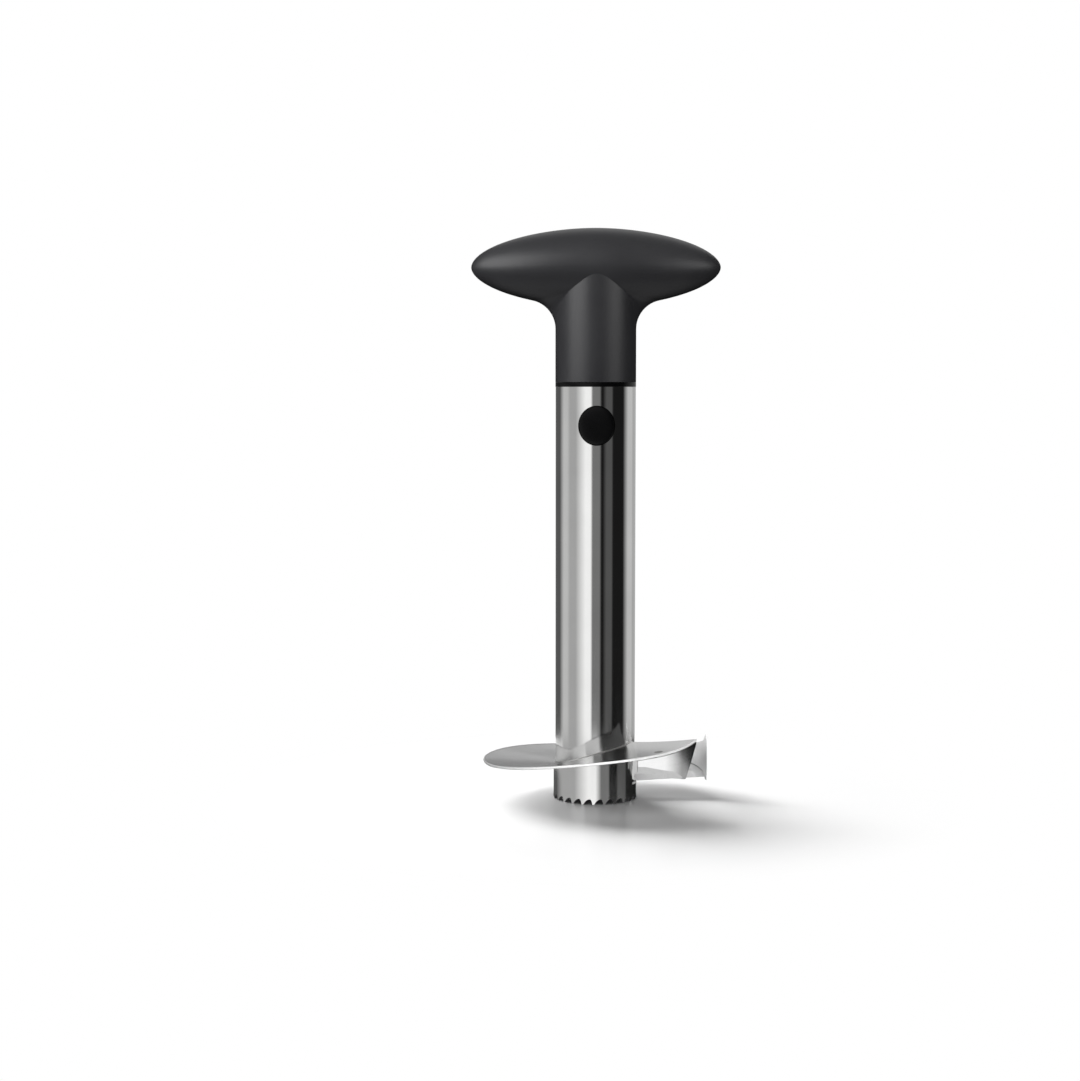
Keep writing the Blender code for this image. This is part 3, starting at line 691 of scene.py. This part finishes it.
def rim_knife_drop(angle):
    """How far the rim knife hangs below the ring."""
    if angle <= RIM_KNIFE_TIP:
        share = (angle - RIM_KNIFE_START) / (RIM_KNIFE_TIP - RIM_KNIFE_START)
        return RIM_KNIFE_HEEL_DROP + (RIM_KNIFE_TIP_DROP - RIM_KNIFE_HEEL_DROP) * share
    share = (angle - RIM_KNIFE_TIP) / (RIM_KNIFE_END - RIM_KNIFE_TIP)
    return RIM_KNIFE_TIP_DROP + (RIM_KNIFE_END_DROP - RIM_KNIFE_TIP_DROP) * share


def weld_tab_reach(angle):
    """How far the rim knife's lip reaches under the ring."""
    past = abs(angle - WELD_TAB_ANGLE) - WELD_TAB_HALF_SPAN
    return RIM_KNIFE_LIP + WELD_TAB_REACH * min(1, max(0, 1 - past / WELD_TAB_SLOPE))


def build_rim_knife(steel, edge_steel):
    """Curved plate hanging from the rim, with its ground foot and spot-welded tab."""
    outer = RING_RADIUS
    inner = RING_RADIUS - RIM_KNIFE_WALL
    lean = tan(RIM_KNIFE_LEAN)
    before = [RIM_KNIFE_START + (RIM_KNIFE_TIP - RIM_KNIFE_START) * index / RIM_KNIFE_COLUMNS
              for index in range(RIM_KNIFE_COLUMNS + 1)]
    after = [RIM_KNIFE_TIP + (RIM_KNIFE_END - RIM_KNIFE_TIP) * (index + 1) / RIM_KNIFE_END_COLUMNS
             for index in range(RIM_KNIFE_END_COLUMNS)]
    sections = []
    for angle in before + after:
        roof = ring_under(inner, angle) - WELD_GAP
        foot = roof - rim_knife_drop(angle)
        rise = RIM_KNIFE_GRIND * min(1, max(0, (RIM_KNIFE_TIP - angle) / RIM_KNIFE_FADE))
        grind = foot + min(rise + EDGE_THICKNESS, (roof - foot) / 2)
        tab = inner - weld_tab_reach(angle)
        shelf = max(ring_under(tab, angle) - WELD_GAP - RIM_KNIFE_WALL, foot + (roof - foot) / 4)
        upright = [(outer, ring_under(outer, angle) - WELD_GAP), (outer, grind),
                   (inner + EDGE_THICKNESS, foot), (inner, foot), (inner, shelf), (tab, shelf),
                   (tab, ring_under(tab, angle) - WELD_GAP), (inner, roof)]
        leaning = [(radius - max(0, roof - height) * lean, height) for radius, height in upright]
        sections.append((angle, leaning))
    knife = new_object("rim_knife_blade", loft("rim_knife_blade", around(sections)), steel, edge_steel)
    for face in knife.data.polygons:
        face.material_index = 1 if face.index % len(leaning) == 1 else 0
    knife.data.set_sharp_from_angle(angle=KNIFE_SHARP_ANGLE)
    return knife


def build_leading_knife(steel):
    """Upright plate at the ring's leading end, ground to its cutting edge."""
    span = LEADING_KNIFE_LEAD + LEADING_KNIFE_TAIL
    places = [(span * along - LEADING_KNIFE_LEAD, up) for along, up in LEADING_KNIFE_SHARES]
    turns = [-LEADING_KNIFE_LEAD + span * index / LEADING_KNIFE_COLUMNS
             for index in range(LEADING_KNIFE_COLUMNS + 1)]
    sections = []
    for angle in sorted(turns + [-WELD_GAP / RING_BORE, 0]):
        up = next(low_up + (high_up - low_up) * (angle - low) / (high - low)
                  for (low, low_up), (high, high_up) in zip(places, places[1:]) if angle <= high + MERGE)
        seat = ring_face(RING_RADIUS, max(0, angle)) + WELD_GAP
        foot = seat if angle >= 0 else ring_under(RING_RADIUS, 0) - LEADING_KNIFE_REACH
        top = ring_top(RING_RADIUS, max(0, angle)) + LEADING_KNIFE_HEIGHT * up
        run = min(1, RING_RADIUS * (angle + LEADING_KNIFE_LEAD) / LEADING_KNIFE_GRIND)
        inner = RING_RADIUS - EDGE_THICKNESS - (LEADING_KNIFE_WALL - EDGE_THICKNESS) * run
        sections.append((angle, [(RING_RADIUS, top), (RING_RADIUS, foot), (inner, foot), (inner, top)]))
    knife = new_object("leading_knife_blade", loft("leading_knife_blade", around(sections)), steel)
    knife.data.set_sharp_from_angle(angle=KNIFE_SHARP_ANGLE)
    return knife


def bar_reach(angle):
    """Distance from the bar's centre to its widest outline in a direction."""
    return BAR_HALF_LENGTH * BAR_HALF_DEPTH / hypot(BAR_HALF_DEPTH * cos(angle),
                                                         BAR_HALF_LENGTH * sin(angle))


def flare_radius(angle):
    """Radius of the hollow between neck and bar: wide along the bar, hardly more than a crease in front."""
    return CREASE_RADIUS + (FLARE_RADIUS - CREASE_RADIUS) * abs(cos(angle)) ** FLARE_FADE_POWER


def flare_seat(angle, steps=64):
    """Foot, outward reach and top of the hollow, which leaves the neck and ends where it touches the bar."""
    radius = flare_radius(angle)
    seats = []
    for step in range(steps):
        out = radius * step / steps
        along = (NECK_RADIUS + out) / bar_reach(angle)
        if along < 1:
            climb = sqrt(radius ** 2 - (radius - out) ** 2)
            drop = BAR_HALF_HEIGHT * (1 - along ** BAR_POWER) ** (1 / BAR_POWER)
            seats.append((BAR_CENTRE - drop - climb, out, BAR_CENTRE - drop))
    return min(seats)


def grip_point(turn, rise):
    """A point of the grip: rise 0 is the hollow's foot, 1 its top, 2 the bar's widest line, 3 its crown."""
    slender = 1 + (BAR_HALF_LENGTH / BAR_HALF_DEPTH - 1) * min(rise / 2, 1)
    angle = atan2(sin(turn), slender * cos(turn))
    foot, out, top = flare_seat(angle)
    if rise <= 1:
        radius = flare_radius(angle)
        bend = acos(1 - out / radius) * rise
        reach = NECK_RADIUS + radius * (1 - cos(bend))
        height = foot + radius * sin(bend)
    else:
        start = asin((top - BAR_CENTRE) / BAR_HALF_HEIGHT)
        level = sin(start * (2 - rise) if rise < 2 else radians(90) * (rise - 2))
        reach = bar_reach(angle) * (1 - abs(level) ** BAR_POWER) ** (1 / BAR_POWER)
        height = BAR_CENTRE + BAR_HALF_HEIGHT * level
    return (reach * cos(angle), reach * sin(angle), height)


def build_grip(rubber):
    """T handle, smooth from neck to bar, with the socket, key grooves and boss in its neck."""
    turns = [tau * index / GRIP_COLUMNS for index in range(GRIP_COLUMNS)]
    rings = []
    for radius, height in rounded((NECK_RADIUS - NECK_ROUND, NECK_BASE + NECK_ROUND), NECK_ROUND, -90):
        rings.append([(radius * cos(turn), radius * sin(turn), height) for turn in turns])
    rises = [index / GRIP_FLARE_ROWS for index in range(GRIP_FLARE_ROWS)]
    rises += [1 + index / GRIP_UNDERSIDE_ROWS for index in range(GRIP_UNDERSIDE_ROWS)]
    rises += [2 + index / GRIP_CROWN_ROWS for index in range(GRIP_CROWN_ROWS)]
    rings += [[grip_point(turn, rise) for turn in turns] for rise in rises]
    pole = (0, 0, BAR_CENTRE + BAR_HALF_HEIGHT)
    grip = new_object("soft_touch_grip", loft("soft_touch_grip", rings, pole=pole), rubber)
    roof = NECK_BASE + SOCKET_DEPTH
    below = NECK_BASE - OVERRUN
    socket = [(SOCKET_RADIUS, roof), (SOCKET_RADIUS, below), (BOSS_RADIUS, below), (BOSS_RADIUS, roof)]
    combine(grip, turned("socket", socket), 'DIFFERENCE')
    pilot_radius = SCREW_RADIUS + SCREW_CLEARANCE
    pilot_roof = WEB_FOOT + SCREW_LENGTH + SCREW_CLEARANCE
    pilot = [(0, below), (pilot_radius, below), (pilot_radius, pilot_roof), (0, pilot_roof)]
    combine(grip, turned("pilot", pilot, PILOT_COLUMNS), 'DIFFERENCE')
    reach = SPIGOT_RADIUS + KEY_HEIGHT + SOCKET_CLEARANCE
    half = KEY_WIDTH / 2 + SOCKET_CLEARANCE
    for side in (-1, 1):
        near, far = sorted((side * (SOCKET_RADIUS - OVERRUN), side * reach))
        combine(grip, block("key_groove", (near, -half, below), (far, half, roof)), 'DIFFERENCE')
    return grip


def build_plug(plastic):
    """Lock plug: the glossy band between tube and handle, its cup, keyed spigot and leg slots."""
    spigot_bore = SPIGOT_RADIUS - PLUG_WALL
    screw_hole = SCREW_RADIUS + SCREW_CLEARANCE
    flange_foot = TUBE_TOP + SEAM
    lip = NECK_RADIUS - FLANGE_ROUND
    profile = [(SPIGOT_RADIUS, FLANGE_TOP)]
    profile += rounded((SPIGOT_RADIUS - FLANGE_ROUND, SPIGOT_TOP - FLANGE_ROUND), FLANGE_ROUND, 0)
    profile += [(spigot_bore, SPIGOT_TOP), (spigot_bore, FLANGE_TOP), (screw_hole, FLANGE_TOP),
                (screw_hole, WEB_FOOT), (PLUG_BORE, WEB_FOOT), (PLUG_BORE, PLUG_FOOT)]
    profile += rounded((PLUG_RADIUS - FLANGE_ROUND, PLUG_FOOT + FLANGE_ROUND), FLANGE_ROUND, -90)
    profile += [(PLUG_RADIUS, flange_foot)]
    profile += rounded((lip, flange_foot + FLANGE_ROUND), FLANGE_ROUND, -90)
    profile += rounded((lip, FLANGE_TOP - FLANGE_ROUND), FLANGE_ROUND, 0)
    plug = new_object("moulded_lock_plug", turned("moulded_lock_plug", profile), plastic)
    half = LEG_HALF_WIDTH + LEG_SLOT
    reach = PLUG_RADIUS + OVERRUN
    slot = block("slot", (-half, -reach, PLUG_FOOT - OVERRUN), (half, reach, LEG_ROOT + LEG_ROOT_GAP))
    combine(plug, slot, 'DIFFERENCE')
    for side in (-1, 1):
        near, far = sorted((side * (SPIGOT_RADIUS - PLUG_WALL / 2), side * (SPIGOT_RADIUS + KEY_HEIGHT)))
        key = block("key", (near, -KEY_WIDTH / 2, FLANGE_TOP - FLANGE_THICKNESS / 2),
                    (far, KEY_WIDTH / 2, SPIGOT_TOP - PLUG_WALL))
        combine(plug, key, 'UNION')
    return plug


def build_button(name, side, plastic):
    """Spring leg with its crowned release button, the crown's edge rounded over."""
    wall = [(PLUG_RADIUS, LEG_ROOT), (PLUG_BORE, LEG_ROOT), (PLUG_BORE, PLUG_FOOT), (PLUG_RADIUS, PLUG_FOOT)]
    leg = new_object(name, turned(name, wall), plastic)
    near, far = sorted((0, side * (PLUG_RADIUS + OVERRUN)))
    strip = block("strip", (-LEG_HALF_WIDTH, near, PLUG_FOOT - OVERRUN),
                  (LEG_HALF_WIDTH, far, LEG_ROOT + OVERRUN))
    combine(leg, strip, 'INTERSECT')
    face = TUBE_RADIUS + BUTTON_PROUD
    turns = [radians(90 * index / BUTTON_CROWN_ROWS) for index in range(BUTTON_CROWN_ROWS + 1)]
    crown = [(sin(turn), face - BUTTON_CROWN * (1 - cos(turn))) for turn in turns]
    back = sqrt(PLUG_BORE ** 2 - BUTTON_HALF_WIDTH ** 2)
    button = turned("button", [(0, back), (1, back)] + crown[::-1], BUTTON_COLUMNS)
    turn = Matrix.Rotation(radians(-90 * side), 4, 'X')
    size = Matrix.Diagonal((BUTTON_HALF_WIDTH, BUTTON_HALF_HEIGHT, 1, 1))
    button.transform(Matrix.Translation((0, 0, BUTTON_HEIGHT)) @ turn @ size)
    combine(leg, button, 'UNION')
    break_edges(leg, LEG_EDGE)
    return leg


def build_screw(zinc):
    """Pan-head screw with a cross recess, up through the plug's web."""
    head_top = WEB_FOOT - FACE_GAP
    head_foot = head_top - SCREW_HEAD_HEIGHT
    tip = head_top + SCREW_LENGTH
    crown = SCREW_HEAD_HEIGHT * SCREW_DOME_SHARE
    turns = [radians(90 * index / SCREW_DOME_ROWS) for index in range(SCREW_DOME_ROWS + 1)]
    dome = [(SCREW_HEAD_RADIUS - crown * (1 - cos(turn)), head_foot + crown * (1 - sin(turn)))
            for turn in turns]
    profile = [(0, tip), (0, head_foot)] + dome[::-1]
    profile += [(SCREW_HEAD_RADIUS, head_top), (SCREW_RADIUS, head_top), (SCREW_RADIUS, tip - SCREW_POINT),
                (SCREW_RADIUS / 4, tip)]
    screw = new_object("cross_head_screw", turned("cross_head_screw", profile, SCREW_COLUMNS), zinc)
    arm = SCREW_RADIUS
    half = SCREW_RADIUS / 5
    depth = head_foot + SCREW_HEAD_HEIGHT / 2
    for low, high in (((-arm, -half), (arm, half)), ((-half, -arm), (half, arm))):
        recess = block("recess", (*low, head_foot - OVERRUN), (*high, depth))
        combine(screw, recess, 'DIFFERENCE')
    return screw


def build_weld_fillet(steel):
    """Thin fillet of weld that closes the ring's bore to the tube on its upper side."""
    seat = SLEEVE_BORE - WELD_GAP / 2
    sections = []
    for index in range(WELD_FILLET_COLUMNS + 1):
        angle = RING_TURN * index / WELD_FILLET_COLUMNS
        base = ring_face(RING_BORE, angle)
        arc = rounded((seat + WELD_FILLET, base + WELD_FILLET), WELD_FILLET, 180, steps=4)
        sections.append((angle, arc + [(seat, base)]))
    return new_object("ring_weld_fillet", loft("ring_weld_fillet", around(sections)), steel)


def build_weld_spot(steel):
    """Flattened spot weld that shows through the ring where the rim knife's tab is fixed."""
    x = WELD_SPOT_RADIUS * cos(WELD_TAB_ANGLE)
    y = WELD_SPOT_RADIUS * sin(WELD_TAB_ANGLE)
    rings = []
    for radius, rise in WELD_SPOT_PROFILE:
        ring = []
        for index in range(WELD_SPOT_COLUMNS):
            turn = tau * index / WELD_SPOT_COLUMNS
            across, along = x + radius * cos(turn), y + radius * sin(turn)
            seat = ring_top(hypot(across, along), atan2(along, across) % tau)
            ring.append((across, along, seat + rise + WELD_SPOT_LIFT))
        rings.append(ring)
    pole = (x, y, ring_top(WELD_SPOT_RADIUS, WELD_TAB_ANGLE) + WELD_SPOT_LIFT)
    return new_object("spot_weld_mark", loft("spot_weld_mark", rings, pole=pole), steel)


# Studio: plain flat panels that the steel sees round it, as (from, to, grey), in degrees from the camera's
# side towards +X. The grey runs over from each panel to the next
BLACK, SOOT, DARK, LOW, DIM, MID = "#181818", "#303030", "#505050", "#606060", "#707070", "#808080"
GREY, WALL, PALE, WHITE, GLARE = "#A0A0A0", "#B8B8B8", "#D8D8D8", "#F0F0F0", "#F8F8F8"
TUBE_PANELS = ((-180, -170, DIM), (-160, -125, DARK), (-105, -90, WALL), (-80, -60, GREY),
               (-30, -15, WHITE), (-10, 10, DIM), (15, 20, BLACK), (30, 45, DARK), (50, 85, BLACK),
               (105, 125, WALL), (135, 160, GREY), (180, 180, DIM))
RING_PANELS = ((-180, -170, MID), (-160, -160, DARK), (-150, -80, SOOT), (-65, -65, WALL),
               (-35, -35, WHITE), (-30, 10, DIM), (15, 90, BLACK), (105, 105, WALL), (135, 160, GREY),
               (180, 180, MID))
REAR_PANELS = ((-180, -180, GREY), (-170, -135, DARK))
LIT_PANELS = ((-105, -60, GREY), (-20, 0, WHITE))
FRONT_PANELS = (*LIT_PANELS, (15, 35, DIM), (40, 60, BLACK), (65, 90, DARK), (95, 150, BLACK))
SLEEVE_PANELS = (*REAR_PANELS, *FRONT_PANELS, (180, 180, GREY))
LEADING_KNIFE_PANELS = ((-180, -115, PALE), *FRONT_PANELS, (180, 180, PALE))
RIM_KNIFE_PANELS = (*REAR_PANELS, *LIT_PANELS, (10, 30, DIM), (40, 75, GLARE), (100, 135, GREY),
                    (145, 160, LOW), (180, 180, GREY))
LEFT_PANELS = ((-180, -180, WALL), (-120, 5, PALE))
RIGHT_PANELS = ((100, 150, PALE), (180, 180, WALL))
SHADE_PANELS = (*LEFT_PANELS, (10, 95, BLACK), *RIGHT_PANELS)
UPPER_PANELS = (*LEFT_PANELS, (15, 90, DARK), *RIGHT_PANELS)
BEVEL_PANELS = ((-180, -180, MID), (-150, -135, LOW), (-100, -100, GREY), (-20, 0, PALE), (10, 30, DIM),
                (40, 110, WALL), (130, 150, LOW), (180, 180, MID))

# Bands of panels, as (name, panels, foot, head), from the top down
BANDS = (("upper_panels", UPPER_PANELS, 0.44, 1.30), ("shade_panels", SHADE_PANELS, 0.31, 0.44),
         ("ring_panels", RING_PANELS, 0.20, 0.31), ("tube_panels", TUBE_PANELS, -0.195, 0.20),
         ("leading_knife_panels", LEADING_KNIFE_PANELS, -0.222, -0.195),
         ("sleeve_panels", SLEEVE_PANELS, -0.29, -0.222),
         ("rim_knife_panels", RIM_KNIFE_PANELS, -0.62, -0.29),
         ("bevel_panels", BEVEL_PANELS, -1.60, -0.62))
BAND_RADIUS = 1.30
BAND_GAIN = 1.45
BAND_COLUMNS = 180

# Surroundings below and above the level, and how steeply one turns into the other
GLOW_BELOW = 0.5
GLOW_ABOVE = 0.25
GLOW_SPREAD = 0.2
FILL_BELOW = 0.05
FILL_ABOVE = 0.10
FILL_SPREAD = 0.4

# Table, which turns plain white between two distances from the object
TABLE_REACH = 6
TABLE_FADE_START = 0.055
TABLE_FADE_END = 0.155

# Soft square lamps: degrees from the camera's side, elevation, distance, size, watts, and what they light
LAMPS = (("rear_left_table_lamp", -143, 20, 1.6, 1.15, 82, "table"),
         ("front_right_table_lamp", 20, 50, 1.5, 1.5, 5, "table"),
         ("front_left_lamp", -55, 18, 1.0, 0.6, 4.6, "all_but_table"),
         ("front_right_lamp", 50, 18, 1.0, 0.6, 2.4, "all_but_table"),
         ("knife_lamp", -28, 10, 1.0, 0.4, 20, "knife"),
         ("rim_lamp", 12, 4, 1.0, 0.5, 15, "ring"),
         ("grip_left_softbox", -54, 26, 1.0, 1.0, 13, "grip"),
         ("grip_right_softbox", 54, 16, 1.0, 0.7, 3.6, "grip"),
         ("grip_rear_softbox", 170, 35, 1.0, 0.8, 1.6, "grip"))
LAMP_AIM = Vector((0, 0, 0.1))

# Camera of the photograph, in metres, degrees and millimetres
CAMERA_PLACE = (-0.0222, -0.834, 0.1652)
CAMERA_DROP = 4.21
CAMERA_LENS = 69.53
CAMERA_SENSOR = 36.0


def toward(degrees, elevation):
    """Direction out from the object, in degrees from the camera's side towards +X and above the level."""
    turn = radians(degrees)
    up = radians(elevation)
    return Vector((sin(turn) * cos(up), -cos(turn) * cos(up), sin(up)))


def build_band(name, panels, foot, head, lit):
    """Round wall of light and dark panels, seen only in reflections."""
    material = bpy.data.materials.new(name)
    material.use_nodes = True
    tree = material.node_tree
    tree.nodes.clear()
    place = add(tree, "ShaderNodeTexCoord").outputs["Object"]
    x, y, _ = add(tree, "ShaderNodeSeparateXYZ", {0: place}).outputs
    turn = calc(tree, 'ARCTAN2', x, calc(tree, 'MULTIPLY', y, -1.0))
    share = remap(tree, turn, -pi, pi)
    greys = add(tree, "ShaderNodeValToRGB", {"Fac": share})
    set_ramp(greys, [((degrees + 180) / 360, grey)
                     for *edges, grey in panels for degrees in sorted(set(edges))])
    glow = add(tree, "ShaderNodeEmission", {"Color": greys.outputs["Color"], "Strength": BAND_GAIN})
    add(tree, "ShaderNodeOutputMaterial", {"Surface": glow})
    row = BAND_COLUMNS + 1
    turns = [tau * step / BAND_COLUMNS for step in range(row)]
    points = [(BAND_RADIUS * cos(turn), BAND_RADIUS * sin(turn), z)
              for z in (foot, head) for turn in turns]
    faces = [(step, step + 1, step + row + 1, step + row) for step in range(BAND_COLUMNS)]
    mesh = bpy.data.meshes.new(name)
    mesh.from_pydata(points, [], faces)
    mesh.materials.append(material)
    piece = put(name, mesh)
    piece.light_linking.receiver_collection = lit
    for ray in ("camera", "diffuse", "shadow", "volume_scatter"):
        setattr(piece, "visible_" + ray, False)


def build_floor():
    """Pale table top with a faint gloss, which keeps the soft shadow and fades to plain white far away."""
    material, tree, place = new_material("gloss_white_table", 0.14, 0.0, IOR=1.12,
                                         **{"Base Color": linear("#F8F8F8")})
    reach = add(tree, "ShaderNodeVectorMath", {0: place}, operation='LENGTH').outputs["Value"]
    fade = remap(tree, reach, TABLE_FADE_START, TABLE_FADE_END, interpolation_type='SMOOTHSTEP')
    glow = add(tree, "ShaderNodeEmission", {"Color": (1, 1, 1, 1), "Strength": 1.0})
    mix = add(tree, "ShaderNodeMixShader", {0: fade, 1: tree.nodes["Principled BSDF"], 2: glow})
    tree.links.new(mix.outputs[0], tree.nodes["Material Output"].inputs["Surface"])
    mesh = bpy.data.meshes.new("table_top")
    corners = ((-1, -1), (1, -1), (1, 1), (-1, 1))
    mesh.from_pydata([(x * TABLE_REACH, y * TABLE_REACH, 0) for x, y in corners], [], [(0, 1, 2, 3)])
    mesh.materials.append(material)
    floor = put("table_top", mesh)
    floor.visible_glossy = False
    floor.visible_diffuse = False
    return floor


def build_world():
    """White surroundings for the camera and the steel, a weak fill from above for everything else."""
    world = bpy.data.worlds.new("white_studio")
    bpy.context.scene.world = world
    world.use_nodes = True
    tree = world.node_tree
    tree.nodes.clear()
    path = add(tree, "ShaderNodeLightPath").outputs
    seen = calc(tree, 'MAXIMUM', path["Is Camera Ray"], path["Is Glossy Ray"])
    seen = calc(tree, 'MAXIMUM', seen, path["Is Transmission Ray"])
    way = add(tree, "ShaderNodeTexCoord").outputs["Generated"]
    up = add(tree, "ShaderNodeSeparateXYZ", {0: way}).outputs[2]
    strength = remap(tree, up, -FILL_SPREAD, FILL_SPREAD, FILL_BELOW, FILL_ABOVE)
    fill = add(tree, "ShaderNodeBackground", {"Color": linear("#FFFFFF"), "Strength": strength})
    room = remap(tree, up, -GLOW_SPREAD, GLOW_SPREAD, GLOW_BELOW, GLOW_ABOVE)
    lit = remap(tree, path["Is Glossy Ray"], low=1.0, high=room)
    white = add(tree, "ShaderNodeBackground", {"Color": linear("#FFFFFF"), "Strength": lit})
    mix = add(tree, "ShaderNodeMixShader", {0: seen, 1: fill, 2: white})
    add(tree, "ShaderNodeOutputWorld", {"Surface": mix})


def build_lamp(name, degrees, elevation, distance, size, watts, lit, glossy):
    """Soft square lamp aimed at the object's middle, placed by its direction from the camera's side."""
    light = bpy.data.lights.new(name, 'AREA')
    light.shape = 'SQUARE'
    light.size = size
    light.energy = watts
    lamp = put(name, light)
    away = toward(degrees, elevation)
    lamp.location = LAMP_AIM + away * distance
    lamp.rotation_euler = away.to_track_quat('Z', 'Y').to_euler()
    lamp.visible_camera = False
    lamp.visible_glossy = glossy
    lamp.light_linking.receiver_collection = lit


def light_list(piece, state):
    """A list for light linking that names one piece as lit or left out."""
    links = bpy.data.collections.new(piece.name + "_" + state.lower())
    links.objects.link(piece)
    links.collection_objects[0].light_linking.link_state = state
    return links


def build_camera():
    """Camera at the photograph's viewing angle: level sides, looking slightly down."""
    lens = bpy.data.cameras.new("camera")
    lens.lens = CAMERA_LENS
    lens.sensor_width = CAMERA_SENSOR
    camera = put("camera", lens)
    camera.location = CAMERA_PLACE
    camera.rotation_euler = (radians(90 - CAMERA_DROP), 0, 0)
    bpy.context.scene.camera = camera


def main():
    """Dress every node, then set the studio."""
    tube_steel = polished_tube_steel()
    blade_steel = satin_blade_steel("satin_stainless_blade", 0.16, 0.20)
    knife_steel = satin_blade_steel("fine_satin_knife", 0.05, 0.07)
    rubber = soft_touch_rubber()
    grains = {name: grained(name, **finish) for name, finish in GRAINED_FINISHES.items()}
    edge_steel = grains["ground_stainless_edge"]
    coarse_steel = grains["coarse_ground_stainless"]
    plastic = grains["gloss_black_abs"]
    # Bore and tooth-edge finishes, both toned dark as painted shade
    shaded_inner_steels = (grains["mill_bore_and_painted_shade"], grains["punched_edge_and_painted_shade"])
    polished, ground, black = "polished_stainless_steel", "ground_stainless_steel", "gloss_black_plastic"
    dressed = (
        (build_tube(tube_steel, *shaded_inner_steels), "slicer", "core_tube", polished),
        (build_sleeve(tube_steel, *shaded_inner_steels), "slicer", "toothed_sleeve", polished),
        (build_ring(blade_steel, edge_steel, coarse_steel), "slicer", "slicing_ring", ground),
        (build_rim_knife(knife_steel, edge_steel), "slicer", "rim_knife", ground),
        (build_leading_knife(coarse_steel), "slicer", "leading_knife", ground),
        (build_weld_fillet(grains["brushed_weld"]), "slicer", None, ground),
        (build_weld_spot(grains["heat_marked_weld"]), "slicer", None, ground),
        (build_grip(rubber), "slicer", "handle_grip", "soft_touch_grip"),
        (build_plug(plastic), "slicer", "lock_plug", black),
        (build_button("front_release_button", -1, plastic), "front_button", "front_button_leg", black),
        (build_button("rear_release_button", 1, plastic), "rear_button", "rear_button_leg", black),
        (build_screw(grains["zinc_plated_screw"]), "slicer", "plug_screw", "zinc_plated_steel"),
    )
    for piece, body, node, slot in dressed:
        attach(piece, body)
        if node:
            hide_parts(node)
    floor = build_floor()
    build_world()
    grip = bpy.data.objects["soft_touch_grip"]
    all_but_grip = light_list(grip, 'EXCLUDE')
    for band in BANDS:
        build_band(*band, all_but_grip)
    lit = {"table": light_list(floor, 'INCLUDE'), "all_but_table": light_list(floor, 'EXCLUDE'),
           "knife": light_list(bpy.data.objects["leading_knife_blade"], 'INCLUDE'),
           "ring": light_list(bpy.data.objects["slicing_ring_blade"], 'INCLUDE'),
           "grip": light_list(grip, 'INCLUDE')}
    for *lamp, lights in LAMPS:
        build_lamp(*lamp, lit[lights], lights == "grip")
    build_camera()
    bpy.context.scene.view_settings.view_transform = 'Standard'


main()
